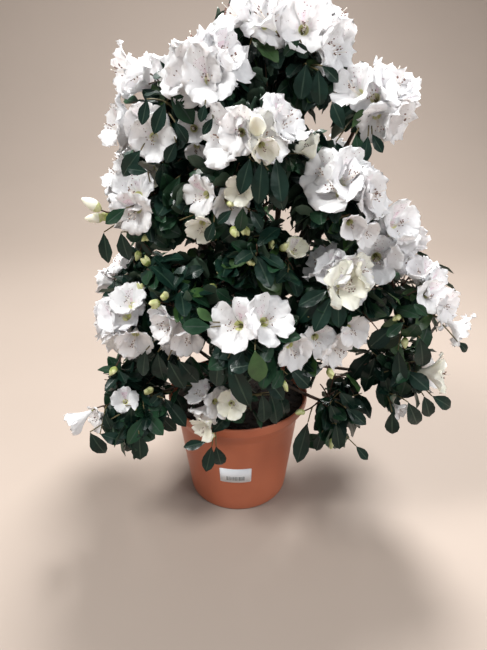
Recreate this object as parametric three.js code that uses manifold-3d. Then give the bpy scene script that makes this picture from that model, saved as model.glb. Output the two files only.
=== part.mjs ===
// A white-flowered azalea in a clay-coloured pot: the pot and its compost, a short trunk, the main
// stems and side boughs, and the masses of leafy twigs with their open flowers.
// Millimetres, +Z up. The origin is the centre of the pot's flat underside, and -Y is the front.
import * as THREE from "three";
import { mergeVertices } from "three/addons/utils/BufferGeometryUtils.js";
import Module from "manifold-3d";

const wasm = await Module();
wasm.setup();

// Clearance between neighbouring pieces.
const GAP = 0.3;

// The pot: a tapered body, a collar that flares out of it, and an upright band at the rim.
const POT_HEIGHT = 162;
const POT_BASE_RADIUS = 73;
const POT_NECK_RADIUS = 88;
const POT_NECK_HEIGHT = 130;
const POT_RIM_RADIUS = 100;
const POT_BAND_HEIGHT = 150;
const POT_WALL = 2.8;
const POT_FLOOR = 4;
const POT_FOOT_EDGE = 3;
const POT_LIP_EDGE = 1;
const POT_SIDES = 40;

// The compost, which is a little heaped round the trunk.
const SOIL_TOP = 146;
const SOIL_CROWN = 150;
const SOIL_FLAT_RADIUS = 24;
const SOIL_SIDES = 28;

// The plain sticker on the front of the pot.
const LABEL_WIDTH = 44;
const LABEL_HEIGHT = 26;
const LABEL_THICK = 0.5;
const LABEL_MID_HEIGHT = 71;
const LABEL_BEARING = 268;
const LABEL_STEPS = 6;

// The trunk, from its flat cut on the compost to the tip that carries the tallest stem.
const TRUNK_HEIGHT = 66;
const TRUNK_ANKLE = 5;
const TRUNK_FLARE_RADIUS = 14;
const TRUNK_RADIUS = 9.5;
const TRUNK_TIP_RADIUS = 6;
const TRUNK_LEAN = 7;
const TRUNK_LEAN_BEARING = 70;
const TRUNK_STEPS = 5;
const TRUNK_SIDES = 10;

// A limb tapers to its tip from a root that grows with its length, up to a share of its parent.
const STEM_TIP_RADIUS = 2.4;
const BOUGH_TIP_RADIUS = 1.9;
const GIRTH_PER_LENGTH = 0.009;
const TIP_GIRTH_SHARE = 0.98;
const SIDE_GIRTH_SHARE = 0.72;
const STEM_SIDES = 6;
const BOUGH_SIDES = 4;
const LIMB_STEP = 36;
const FEWEST_LIMB_STEPS = 4;
// A limb's curve, as shares of its length: how far its first control point rises and goes out,
// and where the second lies on the straight way to the tip and how far above it.
const RISE_SHARE = 0.5;
const OUT_SHARE = 0.35;
const BEND_SHARE = 0.62;
const BEND_LIFT = 0.12;
// A limb ends this share of a mass's spread from the mass's centre, or nearer to it, so that its
// tip is this deep in the mass's own space.
const ENTRY_SHARE = 0.66;
const ENTRY_STEP = 0.04;
const ENTRY_DEPTH = 9;

// A mass's own stem, the leader, carries on from its limb's tip, or from the trunk's side at this
// share of its height. It ends at the mass's centre.
const TRUNK_SIDE_SHARE = 0.3;
const LEADER_BEND = 0.3;
const LEADER_STEPS = 2;
const LEADER_SIDES = 4;
const LEADER_RADIUS = 2.3;
const LEADER_TIP_RADIUS = 1.9;

// Twigs leave the leader between these shares of its length, for tips that are well apart.
const TWIG_FROM = 0.4;
const TWIG_RANGE = 0.55;
const TWIG_RADIUS = 1.2;
const TWIG_SIDES = 3;
const TWIG_TRIES = 4;
const TIPS = 6;
const TIPS_WITH_NO_BLOOM = 7;
const TIPS_TRIED = 24;
const TIP_APART = 46;
const TIP_LIFT_SHARE = 0.8;
const GOLDEN_ANGLE = 137.508;

// Leaves stand in whorls below the twigs' tips. They are a little larger than life.
const LEAF_LENGTH = 58;
const LEAF_WIDTH = 28;
const LEAF_WIDEST = 0.56;
const LEAF_RIDGE = 1.8;
const LEAF_DROOP = 0.08;
const LEAF_SAG = 0.3;
const LEAF_TILT = 58;
const LEAF_TILT_UNDER_BLOOM = 100;
const LEAF_TILT_RANGE = 22;
const LEAF_TOP = 1.5;
const LEAF_SPACING = 3.2;
const LEAVES_PER_TIP = 3;
const LEAF_TRIES = 12;
const LEAF_SWING = 25;
const LEAF_SHRINK = 0.03;

// An open flower is a funnel from its narrow root to its five blunt lobes.
const LOBES = 5;
const FLOWER_RADIUS = 28;
const FLOWER_SINUS_RADIUS = 21;
const FLOWER_DEPTH = 36;
const FLOWER_SINUS_DEPTH = 33;
const FLOWER_THROAT_DEPTH = 24;
const FLOWER_NECK_DEPTH = 14;
const FLOWER_NECK_RADIUS = 5;
const LOBE_SHOULDER = 0.2;
const FLOWER_TRIES = 8;
// How far each flower leans from its truss's axis, in trusses of one, two and three.
const TRUSS_TILT = [0, 44, 52];

// How far a flower's root is sunk, and the most that each kind's root may share with its twig: a
// volume in mm3, and the triangles that the seam adds.
const ROOT_DEPTH = 0.8;
const TWIG_ROOT = { volume: 25, seam: 18 };
const FLOWER_ROOT = { volume: 150, seam: 64 };
const LEAF_ROOT = { volume: 3, seam: 12 };
const SHORTEST_EDGE = 0.004;

// The room that foliage leaves round the limbs and the pot, and beside the flat faces that divide
// the masses, and how far leaves and flowers may reach beyond a mass's spread.
const KEEP_OUT = 1.2;
const CELL_MARGIN = 0.4;
const BEYOND = 18;

const SEED = 29;

const LEAF_GREEN = { color: 0x17301f, roughness: 0.42, metalness: 0 };
const BARK_BROWN = { color: 0x4a3426, roughness: 0.85, metalness: 0 };
const CLAY_ORANGE = { color: 0xb5573a, roughness: 0.55, metalness: 0 };
const COMPOST_BROWN = { color: 0x1c1310, roughness: 1, metalness: 0 };
const LABEL_WHITE = { color: 0xe9ecf0, roughness: 0.6, metalness: 0 };

// Every mass of foliage: its bearing from the pot's axis in degrees (0 is +X, 270 the front), its
// height, its reach from the axis, its spread, the limb that carries it, and its trusses of bloom
// as [bearing, lift, open flowers, turn about the truss's axis, size], seen from its centre.
const MASSES = {
  crest_right: [349, 571, 74, 62, "stem_crest", [[306, 48, 3, 36, 1]]],
  crest_left: [321, 596, 33, 60, "bough_crest_left", [[258, 30, 2, 168, 1]]],
  upper_left: [245, 553, 62, 62, "bough_upper_left", [[270, 36, 3, 0, 1]]],
  shoulder_left: [201, 525, 75, 66, "stem_left", [[156, 54, 2, 0, 1], [228, -6, 2, 0, 1]]],
  left_mid: [210, 439, 99, 58, "bough_left_mid", [[216, 12, 2, 36, 1]]],
  centre_upper: [278, 499, 91, 60, "stem_front", [[264, 18, 2, 0, 1], [330, 36, 1, 0, 1]]],
  centre_mid: [262, 458, 90, 54, "bough_centre_mid", [[234, 0, 1, 0, 0.72], [282, -12, 1, 0, 0.7]]],
  right_upper: [349, 534, 142, 56, "stem_right", [[300, 24, 3, 60, 1]]],
  right_inner: [322, 440, 138, 58, "bough_right_inner", [[282, 36, 2, 168, 1]]],
  right_mid: [343, 396, 166, 56, "bough_right_mid", [[320, 6, 3, 29, 0.94]]],
  right_front: [320, 360, 153, 56, "bough_right_front", [[240, 36, 2, 156, 0.9]]],
  left_low: [213, 304, 127, 58, "bough_left", [[216, 6, 3, 60, 1]]],
  left_inner: [240, 336, 100, 60, "bough_left_inner", [[246, -18, 1, 0, 1]]],
  front_centre: [278, 317, 120, 60, "bough_front", [[246, 24, 1, 0, 1], [294, 30, 1, 0, 1]]],
  front_right: [310, 308, 130, 54, "bough_front_right", [[312, -18, 1, 0, 0.9], [276, 0, 1, 0, 0.75]]],
  right_low: [341, 328, 210, 62, "bough_right", [[306, 54, 2, 108, 0.85], [324, 0, 1, 0, 0.85]]],
  right_bottom: [343, 222, 214, 54, "bough_right_bottom", [[324, 18, 1, 0, 0.85]]],
  left_bottom: [205, 178, 160, 60, "bough_left_bottom", [[222, 0, 1, 0, 0.75], [282, 42, 1, 0, 0.6]]],
  pot_front: [251, 200, 80, 56, "trunk", [[252, 12, 3, 12, 0.75]]],
  right_skirt: [330, 182, 140, 54, "bough_right_skirt", []],
  centre_low: [288, 376, 94, 56, "bough_centre_low", []],
  back_top: [110, 540, 62, 64, "stem_back", [[100, 40, 3, 268, 1]]],
  back_left: [150, 440, 116, 66, "bough_back_left", [[150, 20, 2, 346, 1]]],
  back_right: [40, 450, 112, 66, "bough_back_right", [[45, 22, 3, 159, 1]]],
  back_mid: [95, 372, 128, 66, "bough_back_mid", [[95, 14, 2, 324, 1]]],
  back_low_left: [152, 290, 158, 64, "bough_back_low_left", [[160, 16, 2, 85, 1]]],
  back_low_right: [32, 300, 172, 66, "bough_back_low_right", [[28, 20, 2, 173, 1]]],
  back_low: [92, 236, 158, 64, "bough_back", [[90, 20, 2, 43, 1]]],
};

// Every limb: the one that it grows from, the share of that one's length at which it leaves, and
// how strongly it rises before it turns out to its mass.
const LIMBS = {
  stem_crest: ["trunk", 1, 0.5],
  stem_left: ["trunk", 0.86, 0.6],
  stem_right: ["trunk", 0.74, 0.55],
  stem_front: ["trunk", 0.8, 0.6],
  stem_back: ["trunk", 0.68, 0.6],
  bough_left: ["trunk", 0.56, 0.3],
  bough_front: ["trunk", 0.52, 0.3],
  bough_right: ["trunk", 0.48, 0.25],
  bough_back: ["trunk", 0.44, 0.25],
  bough_crest_left: ["stem_crest", 0.72, 0.4],
  bough_upper_left: ["stem_crest", 0.56, 0.5],
  bough_left_mid: ["stem_left", 0.6, 0.35],
  bough_left_inner: ["stem_left", 0.16, 0.4],
  bough_centre_mid: ["stem_front", 0.56, 0.35],
  bough_centre_low: ["stem_front", 0.34, 0.4],
  bough_right_inner: ["stem_right", 0.52, 0.3],
  bough_right_mid: ["stem_right", 0.36, 0.3],
  bough_right_front: ["stem_right", 0.2, 0.3],
  bough_front_right: ["bough_front", 0.3, 0.2],
  bough_right_bottom: ["bough_right", 0.34, 0.1],
  bough_right_skirt: ["bough_right", 0.14, 0.1],
  bough_left_bottom: ["bough_left", 0.2, 0.1],
  bough_back_left: ["stem_back", 0.5, 0.35],
  bough_back_right: ["stem_back", 0.6, 0.35],
  bough_back_mid: ["stem_back", 0.34, 0.35],
  bough_back_low_left: ["bough_back", 0.3, 0.3],
  bough_back_low_right: ["bough_back", 0.22, 0.3],
};

const UP = new THREE.Vector3(0, 0, 1);
const radians = THREE.MathUtils.degToRad;

// A number from 0 to 1 that depends only on the seed and the keys.
function chance(...keys) {
  let h = SEED;
  for (const key of keys) {
    h = Math.imul(h ^ (key + 0x9e3779b9), 0x85ebca6b);
    h ^= h >>> 13;
    h = Math.imul(h, 0xc2b2ae35);
    h ^= h >>> 16;
  }
  return (h >>> 0) / 4294967296;
}

// The unit vector with this bearing and this lift above the horizon, in degrees.
function heading(bearing, lift) {
  const across = Math.cos(radians(lift));
  return new THREE.Vector3(
    across * Math.cos(radians(bearing)),
    across * Math.sin(radians(bearing)),
    Math.sin(radians(lift)),
  );
}

// Two unit vectors square to axis and to each other.
function squareTo(axis) {
  const helper = Math.abs(axis.z) < 0.9 ? UP : new THREE.Vector3(1, 0, 0);
  const side = new THREE.Vector3().crossVectors(helper, axis).normalize();
  return [side, new THREE.Vector3().crossVectors(axis, side)];
}

// The direction that leans from axis by tilt degrees, turned round it by turn degrees.
function leaned(axis, tilt, turn) {
  const [side, over] = squareTo(axis);
  return axis.clone().multiplyScalar(Math.cos(radians(tilt)))
    .addScaledVector(side, Math.sin(radians(tilt)) * Math.cos(radians(turn)))
    .addScaledVector(over, Math.sin(radians(tilt)) * Math.sin(radians(turn)));
}

// A closed mesh from points and triangles of point numbers.
function closedMesh(points, faces) {
  const geometry = new THREE.BufferGeometry().setFromPoints(points);
  geometry.setIndex(faces.flat());
  return geometry;
}

// The manifold solid of a closed geometry.
function solidOf(geometry) {
  const bare = geometry.clone();
  bare.deleteAttribute("normal");
  bare.deleteAttribute("uv");
  const merged = mergeVertices(bare, 1e-4);
  return new wasm.Manifold(new wasm.Mesh({
    numProp: 3,
    vertProperties: new Float32Array(merged.attributes.position.array),
    triVerts: new Uint32Array(merged.index.array),
  }));
}

// The geometry of a manifold solid's largest body.
function geometryOf(solid) {
  const bodies = solid.decompose().sort((a, b) => b.volume() - a.volume());
  const mesh = bodies[0].getMesh();
  const geometry = new THREE.BufferGeometry();
  const position = new Float32Array(mesh.vertProperties);
  geometry.setAttribute("position", new THREE.BufferAttribute(position, 3));
  geometry.setIndex(new THREE.BufferAttribute(new Uint32Array(mesh.triVerts), 1));
  geometry.computeVertexNormals();
  return geometry;
}

// The corners of a geometry.
function corners(geometry) {
  const position = geometry.attributes.position;
  const corner = (_, i) => new THREE.Vector3().fromBufferAttribute(position, i);
  return Array.from({ length: position.count }, corner);
}

// The length of a solid's shortest edge.
function shortestEdge(solid) {
  const { vertProperties, triVerts } = solid.getMesh();
  let shortest = Infinity;
  for (let i = 0; i < triVerts.length; i++) {
    const a = 3 * triVerts[i];
    const b = 3 * triVerts[i % 3 === 2 ? i - 2 : i + 1];
    const steps = [0, 1, 2].map((k) => vertProperties[a + k] - vertProperties[b + k]);
    shortest = Math.min(shortest, Math.hypot(...steps));
  }
  return shortest;
}

// A closed tube with flat ends through points, with a radius at each.
function tube(points, radii, sides) {
  const rings = [];
  let [side] = squareTo(points[1].clone().sub(points[0]).normalize());
  points.forEach((point, i) => {
    const before = points[Math.max(i - 1, 0)];
    const after = points[Math.min(i + 1, points.length - 1)];
    const along = after.clone().sub(before).normalize();
    side = side.clone().addScaledVector(along, -side.dot(along)).normalize();
    const over = new THREE.Vector3().crossVectors(along, side);
    for (let k = 0; k < sides; k++) {
      const turn = (2 * Math.PI * k) / sides;
      rings.push(point.clone()
        .addScaledVector(side, radii[i] * Math.cos(turn))
        .addScaledVector(over, radii[i] * Math.sin(turn)));
    }
  });
  const faces = [];
  for (let i = 0; i + 1 < points.length; i++) {
    for (let k = 0; k < sides; k++) {
      const a = i * sides + k;
      const b = i * sides + ((k + 1) % sides);
      faces.push([a, b, b + sides], [a, b + sides, a + sides]);
    }
  }
  const last = (points.length - 1) * sides;
  for (let k = 1; k + 1 < sides; k++) {
    faces.push([0, k + 1, k], [last, last + k, last + k + 1]);
  }
  return closedMesh(rings, faces);
}

// A leaf from root along the unit vector along, with its ridged upper side towards face.
function leaf(root, along, face, size) {
  const across = new THREE.Vector3().crossVectors(face, along).normalize();
  const normal = new THREE.Vector3().crossVectors(along, across);
  const at = (x, y, z) => root.clone()
    .addScaledVector(along, x * LEAF_LENGTH * size)
    .addScaledVector(across, y * LEAF_WIDTH * size)
    .addScaledVector(normal, z);
  const points = [
    at(0, 0, 0),
    at(1, 0, -LEAF_DROOP * LEAF_LENGTH * size),
    at(LEAF_WIDEST, 0.5, 0),
    at(LEAF_WIDEST, -0.5, 0),
    at(0.5, 0, LEAF_RIDGE),
  ];
  const [base, tip, left, right, ridge] = points.keys();
  return closedMesh(points, [
    [base, ridge, left], [ridge, tip, left], [base, right, ridge],
    [ridge, right, tip], [base, left, right], [tip, right, left],
  ]);
}

// An open flower from its root along the unit vector facing, turned about it by turn radians.
function flower(root, facing, turn, size) {
  const [side, over] = squareTo(facing);
  const at = (radius, angle, depth) => root.clone()
    .addScaledVector(side, radius * size * Math.cos(turn + angle))
    .addScaledVector(over, radius * size * Math.sin(turn + angle))
    .addScaledVector(facing, depth * size);
  const lobeAngle = (2 * Math.PI) / LOBES;
  const points = [at(0, 0, 0), at(0, 0, FLOWER_THROAT_DEPTH)];
  const neck = points.length;
  for (let k = 0; k < LOBES; k++) {
    points.push(at(FLOWER_NECK_RADIUS, k * lobeAngle, FLOWER_NECK_DEPTH));
  }
  // The rim: each lobe has a sinus before it and two shoulders.
  const rim = points.length;
  for (let k = 0; k < LOBES; k++) {
    points.push(at(FLOWER_SINUS_RADIUS, k * lobeAngle, FLOWER_SINUS_DEPTH));
    for (const share of [1 - LOBE_SHOULDER, 2 + LOBE_SHOULDER]) {
      points.push(at(FLOWER_RADIUS, (k + share / 3) * lobeAngle, FLOWER_DEPTH));
    }
  }
  const faces = [];
  for (let k = 0; k < 3 * LOBES; k++) {
    const a = rim + k;
    const b = rim + ((k + 1) % (3 * LOBES));
    const nearest = neck + (Math.floor((k + 1) / 3) % LOBES);
    faces.push([1, a, b], [nearest, b, a]);
  }
  for (let k = 0; k < LOBES; k++) {
    const here = neck + k;
    const next = neck + ((k + 1) % LOBES);
    faces.push([0, next, here], [here, next, rim + k * 3 + 2]);
  }
  return closedMesh(points, faces);
}

// The pot's outer wall, from its base to its rim, as [radius, height].
const POT_OUTSIDE = [
  [POT_BASE_RADIUS - POT_FOOT_EDGE, 0],
  [POT_BASE_RADIUS, POT_FOOT_EDGE],
  [POT_NECK_RADIUS, POT_NECK_HEIGHT],
  [POT_RIM_RADIUS, POT_BAND_HEIGHT],
  [POT_RIM_RADIUS, POT_HEIGHT - POT_LIP_EDGE],
  [POT_RIM_RADIUS - POT_LIP_EDGE, POT_HEIGHT],
];

// The radius of the pot's outer wall at a height.
function potRadius(height) {
  for (let i = 0; i + 1 < POT_OUTSIDE.length; i++) {
    const [r0, z0] = POT_OUTSIDE[i];
    const [r1, z1] = POT_OUTSIDE[i + 1];
    if (height <= z1) return THREE.MathUtils.mapLinear(height, z0, z1, r0, r1);
  }
  return POT_RIM_RADIUS;
}

// A solid of revolution about the pot's axis. Its [radius, height] points start and end there.
function turned(profile, sides) {
  const points = profile.map(([radius, height]) => new THREE.Vector2(radius, height));
  return new THREE.LatheGeometry(points, sides).rotateX(Math.PI / 2);
}

function potGeometry() {
  const inside = [
    [POT_RIM_RADIUS - POT_WALL, POT_HEIGHT],
    [POT_RIM_RADIUS - POT_WALL, POT_BAND_HEIGHT],
    [POT_NECK_RADIUS - POT_WALL, POT_NECK_HEIGHT],
    [potRadius(POT_FLOOR) - POT_WALL, POT_FLOOR],
  ];
  return turned([[0, 0], ...POT_OUTSIDE, ...inside, [0, POT_FLOOR]], POT_SIDES);
}

// The room that the foliage leaves to the pot and what is in it.
function potRoom() {
  const top = POT_HEIGHT + KEEP_OUT;
  const wall = POT_OUTSIDE.map(([radius, height]) => [radius + KEEP_OUT, height]);
  return turned([[0, 0], ...wall, [POT_RIM_RADIUS + KEEP_OUT, top], [0, top]], POT_SIDES);
}

function soilGeometry() {
  const inset = POT_WALL + 2 * GAP;
  const bottom = POT_FLOOR + GAP;
  return turned([
    [0, bottom],
    [potRadius(bottom) - inset, bottom],
    [POT_NECK_RADIUS - inset, POT_NECK_HEIGHT],
    [potRadius(SOIL_TOP) - inset, SOIL_TOP],
    [SOIL_FLAT_RADIUS, SOIL_CROWN],
    [0, SOIL_CROWN],
  ], SOIL_SIDES);
}

// The sticker: a thin panel bent round the pot's front.
function labelGeometry() {
  const low = LABEL_MID_HEIGHT - LABEL_HEIGHT / 2;
  const turn = LABEL_WIDTH / potRadius(LABEL_MID_HEIGHT);
  const [inner, outer] = [GAP, GAP + LABEL_THICK];
  const points = [];
  for (let i = 0; i <= LABEL_STEPS; i++) {
    const angle = radians(LABEL_BEARING) + turn * (i / LABEL_STEPS - 0.5);
    for (const [height, out] of [[0, inner], [0, outer], [1, outer], [1, inner]]) {
      const z = low + height * LABEL_HEIGHT;
      const radius = potRadius(z) + out;
      points.push(new THREE.Vector3(radius * Math.cos(angle), radius * Math.sin(angle), z));
    }
  }
  const faces = [];
  for (let i = 0; i < LABEL_STEPS; i++) {
    for (let k = 0; k < 4; k++) {
      const a = i * 4 + k;
      const b = i * 4 + ((k + 1) % 4);
      faces.push([a, b + 4, b], [a, a + 4, b + 4]);
    }
  }
  const last = LABEL_STEPS * 4;
  faces.push([0, 1, 2], [0, 2, 3], [last, last + 2, last + 1], [last, last + 3, last + 2]);
  return closedMesh(points, faces);
}

// Where each mass lies: its centre, its spread as a radius, and the limb that carries it.
const places = {};
for (const [name, [bearing, height, reach, spread, limb]] of Object.entries(MASSES)) {
  places[name] = { centre: heading(bearing, 0).multiplyScalar(reach).setZ(height), spread, limb };
}

// How deep a point is in a mass's own space. A flat face divides it from each other mass's space,
// about halfway between them, and nearer to the one with the smaller spread.
function depthInside(point, name) {
  const own = places[name];
  const power = (place) => point.distanceToSquared(place.centre) - place.spread ** 2;
  const others = Object.values(places).filter((place) => place !== own);
  return Math.min(...others.map((other) =>
    (power(other) - power(own)) / (2 * own.centre.distanceTo(other.centre))));
}

// Where a limb from start ends: on its way to the mass's centre, well inside the mass's space.
function entryPoint(name, start) {
  const { centre, spread } = places[name];
  const back = start.clone().sub(centre).normalize();
  let share = ENTRY_SHARE;
  let point = null;
  do {
    point = centre.clone().addScaledVector(back, share * spread);
    share -= ENTRY_STEP;
  } while (depthInside(point, name) < ENTRY_DEPTH && share > ENTRY_STEP);
  return point;
}

// The point, direction and radius at a share of a limb's length.
function alongLimb(line, share) {
  const place = share * (line.points.length - 1);
  const i = Math.min(Math.floor(place), line.points.length - 2);
  const part = place - i;
  return {
    point: line.points[i].clone().lerp(line.points[i + 1], part),
    direction: line.points[i + 1].clone().sub(line.points[i]).normalize(),
    radius: THREE.MathUtils.lerp(line.radii[i], line.radii[i + 1], part),
  };
}

// The trunk rises straight from its flat foot, where its roots flare, and then leans.
function trunkLine() {
  const foot = new THREE.Vector3(0, 0, SOIL_CROWN + GAP);
  const ankle = foot.clone().setZ(foot.z + TRUNK_ANKLE);
  const top = heading(TRUNK_LEAN_BEARING, 0).multiplyScalar(TRUNK_LEAN).setZ(foot.z + TRUNK_HEIGHT);
  const bend = ankle.clone().setZ((ankle.z + top.z) / 2);
  const curve = new THREE.QuadraticBezierCurve3(ankle, bend, top);
  const points = [foot, ...curve.getPoints(TRUNK_STEPS)];
  const radii = points.map((point) => {
    const share = (point.z - foot.z) / TRUNK_HEIGHT;
    const flare = (TRUNK_FLARE_RADIUS - TRUNK_RADIUS) * Math.max(0, 1 - share * 3) ** 2;
    return THREE.MathUtils.lerp(TRUNK_RADIUS, TRUNK_TIP_RADIUS, share) + flare;
  });
  return { points, radii, sides: TRUNK_SIDES };
}

// A stem or bough, from its parent to where it enters its mass.
function limbLine(name) {
  const [parentName, leaves, rise] = LIMBS[name];
  const mass = Object.keys(places).find((place) => places[place].limb === name);
  const parent = alongLimb(lines[parentName], leaves);
  const fromTip = leaves === 1;
  const isStem = name.startsWith("stem");
  const start = parent.point.clone().addScaledVector(parent.direction, fromTip ? GAP : 0);
  const tip = entryPoint(mass, start);
  const length = tip.distanceTo(start);
  const out = places[mass].centre.clone().sub(start).setZ(0).normalize();
  const first = start.clone()
    .addScaledVector(fromTip ? parent.direction : UP, rise * length * RISE_SHARE)
    .addScaledVector(out, (1 - rise) * length * OUT_SHARE);
  const second = start.clone().lerp(tip, BEND_SHARE).addScaledVector(UP, rise * length * BEND_LIFT);
  const steps = Math.max(FEWEST_LIMB_STEPS, Math.round(length / LIMB_STEP));
  const points = new THREE.CubicBezierCurve3(start, first, second, tip).getPoints(steps);
  const tipRadius = isStem ? STEM_TIP_RADIUS : BOUGH_TIP_RADIUS;
  const most = parent.radius * (fromTip ? TIP_GIRTH_SHARE : SIDE_GIRTH_SHARE);
  const rootRadius = Math.min(most, tipRadius + length * GIRTH_PER_LENGTH);
  const radii = points.map((_, i) => THREE.MathUtils.lerp(rootRadius, tipRadius, i / steps));
  return { points, radii, sides: isStem ? STEM_SIDES : BOUGH_SIDES };
}

// The solid of a limb that is thicker all round by extra.
function limbSolid(line, extra) {
  return solidOf(tube(line.points, line.radii.map((radius) => radius + extra), line.sides));
}

// Every limb, each after the one that it grows from.
const lines = { trunk: trunkLine() };
for (const name of Object.keys(LIMBS)) lines[name] = limbLine(name);

const keepOut = Object.values(lines).reduce(
  (room, line) => room.add(limbSolid(line, KEEP_OUT)),
  solidOf(potRoom()),
);

// Whether a piece keeps to a mass's space and reach, clears the limbs and the pot, and meets what
// is there only at its root.
function fits(mass, piece, geometry, root) {
  const keepsIn = (point) =>
    point.distanceTo(mass.centre) < mass.spread + BEYOND && depthInside(point, mass.name) > CELL_MARGIN;
  if (!corners(geometry).every(keepsIn)) return false;
  if (!keepOut.intersect(piece).isEmpty()) return false;
  const common = mass.solid.intersect(piece).volume();
  return common > 0 && common < root.volume;
}

// Fuses a piece onto a mass if it fits and its seam is a short one with no tiny edges. Says
// whether it did.
function fuse(mass, geometry, root) {
  const piece = solidOf(geometry);
  if (!fits(mass, piece, geometry, root)) return false;
  const joined = mass.solid.add(piece);
  if (joined.numTri() - mass.solid.numTri() - piece.numTri() > root.seam) return false;
  if (shortestEdge(joined) < SHORTEST_EDGE) return false;
  mass.solid = joined;
  return true;
}

// The tips of a mass's twigs: first its trusses of bloom, then leafy tips well apart.
function massTips(mass) {
  const tips = MASSES[mass.name][5].map(([bearing, lift, flowers, turn, size]) =>
    ({ way: heading(bearing, lift), flowers, turn, size }));
  const wanted = tips.length ? TIPS : TIPS_WITH_NO_BLOOM;
  for (let k = 0; k < TIPS_TRIED && tips.length < wanted; k++) {
    const lift = THREE.MathUtils.radToDeg(Math.asin(1 - (2 * k + 1) / TIPS_TRIED));
    const way = heading(k * GOLDEN_ANGLE + 360 * chance(mass.index, 1), lift * TIP_LIFT_SHARE);
    const taken = [mass.inward, ...tips.map((tip) => tip.way)];
    if (taken.every((other) => way.angleTo(other) > radians(TIP_APART))) tips.push({ way, flowers: 0 });
  }
  return tips;
}

// A twig from the leader to a tip. Says whether there was room for it.
function growTwig(mass, tip, number) {
  const depth = mass.spread - (tip.flowers ? FLOWER_DEPTH : LEAF_LENGTH / 2);
  tip.end = mass.centre.clone().addScaledVector(tip.way, depth);
  for (let attempt = 0; attempt < TWIG_TRIES; attempt++) {
    const share = TWIG_FROM + TWIG_RANGE * chance(mass.index, number, attempt, 2);
    const from = alongLimb(mass.leader, share).point;
    tip.axis = tip.end.clone().sub(from).normalize();
    const twig = tube([from, tip.end], [TWIG_RADIUS, TWIG_RADIUS], TWIG_SIDES);
    if (fuse(mass, twig, TWIG_ROOT)) return true;
  }
  return false;
}

// A truss of bloom at a twig's tip, with its flowers leaning evenly away from each other.
function growTruss(mass, tip, number) {
  for (let k = 0; k < tip.flowers; k++) {
    const facing = leaned(tip.way, TRUSS_TILT[tip.flowers - 1], tip.turn + (360 * k) / tip.flowers);
    const root = tip.end.clone().addScaledVector(facing, -ROOT_DEPTH);
    const size = tip.size * (1.05 - 0.1 * chance(mass.index, number, k, 4));
    for (let attempt = 0; attempt < FLOWER_TRIES; attempt++) {
      const turn = 2 * Math.PI * chance(mass.index, number, k, attempt, 5);
      if (fuse(mass, flower(root, facing, turn, size), FLOWER_ROOT)) break;
    }
  }
}

// A whorl of leaves below a twig's tip. Those under a truss bend back from it.
function growLeaves(mass, tip, number) {
  const start = 360 * chance(mass.index, number, 6);
  const face = tip.axis.clone().add(UP);
  for (let k = 0; k < LEAVES_PER_TIP; k++) {
    const root = tip.end.clone().addScaledVector(tip.axis, -LEAF_TOP - LEAF_SPACING * k);
    const tilt = (tip.flowers ? LEAF_TILT_UNDER_BLOOM : LEAF_TILT)
      + LEAF_TILT_RANGE * chance(mass.index, number, k, 7);
    const size = 0.9 + 0.2 * chance(mass.index, number, k, 8);
    for (let attempt = 0; attempt < LEAF_TRIES; attempt++) {
      const turn = start + (360 * k) / LEAVES_PER_TIP + LEAF_SWING * attempt;
      const along = leaned(tip.axis, tilt, turn).addScaledVector(UP, -LEAF_SAG).normalize();
      if (fuse(mass, leaf(root, along, face, size * (1 - LEAF_SHRINK * attempt)), LEAF_ROOT)) break;
    }
  }
}

// Where a mass's leader starts: at its bough's tip, or on the trunk's side.
function leaderRoot({ centre, limb }) {
  if (limb !== "trunk") return alongLimb(lines[limb], 1);
  const side = alongLimb(lines.trunk, TRUNK_SIDE_SHARE);
  const direction = centre.clone().sub(side.point).setZ(0).normalize();
  return { point: side.point.addScaledVector(direction, side.radius), direction };
}

// One mass: its leader, its twigs, then the flowers and the leaves fused on.
function massSolid(name, index) {
  const { centre, spread } = places[name];
  const root = leaderRoot(places[name]);
  const start = root.point.clone().addScaledVector(root.direction, GAP);
  const bend = start.clone().addScaledVector(root.direction, spread * LEADER_BEND);
  const points = new THREE.QuadraticBezierCurve3(start, bend, centre).getPoints(LEADER_STEPS);
  const radii = points.map((_, i) =>
    THREE.MathUtils.lerp(LEADER_RADIUS, LEADER_TIP_RADIUS, i / LEADER_STEPS));
  const mass = {
    name,
    index,
    centre,
    spread,
    inward: start.clone().sub(centre).normalize(),
    leader: { points, radii },
    solid: solidOf(tube(points, radii, LEADER_SIDES)),
  };
  const tips = massTips(mass);
  const grown = tips.map((tip, number) => {
    const hasRoom = growTwig(mass, tip, number);
    if (hasRoom) growTruss(mass, tip, number);
    return hasRoom;
  });
  tips.forEach((tip, number) => grown[number] && growLeaves(mass, tip, number));
  return mass.solid;
}

const shrub = new THREE.Group();

function add(name, geometry, look) {
  const mesh = new THREE.Mesh(geometry, new THREE.MeshStandardMaterial(look));
  mesh.name = name;
  shrub.add(mesh);
}

add("pot", potGeometry(), CLAY_ORANGE);
add("soil", soilGeometry(), COMPOST_BROWN);
add("label", labelGeometry(), LABEL_WHITE);

// Each limb is cut clear of those before it.
Object.keys(lines).forEach((name, index, names) => {
  const solid = names.slice(0, index).reduce(
    (rest, earlier) => rest.subtract(limbSolid(lines[earlier], GAP)),
    limbSolid(lines[name], 0),
  );
  add(name, geometryOf(solid), BARK_BROWN);
});

Object.keys(MASSES).forEach((name, index) => {
  add("mass_" + name, geometryOf(massSolid(name, index)), LEAF_GREEN);
});

export default shrub;
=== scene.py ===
# The looks of the potted azalea: bark, twigs, leaves, buds and white flowers, and the pot with its
# compost and plain sticker. It grows the foliage by the source's rule, on to finer twigs.
import math

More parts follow.
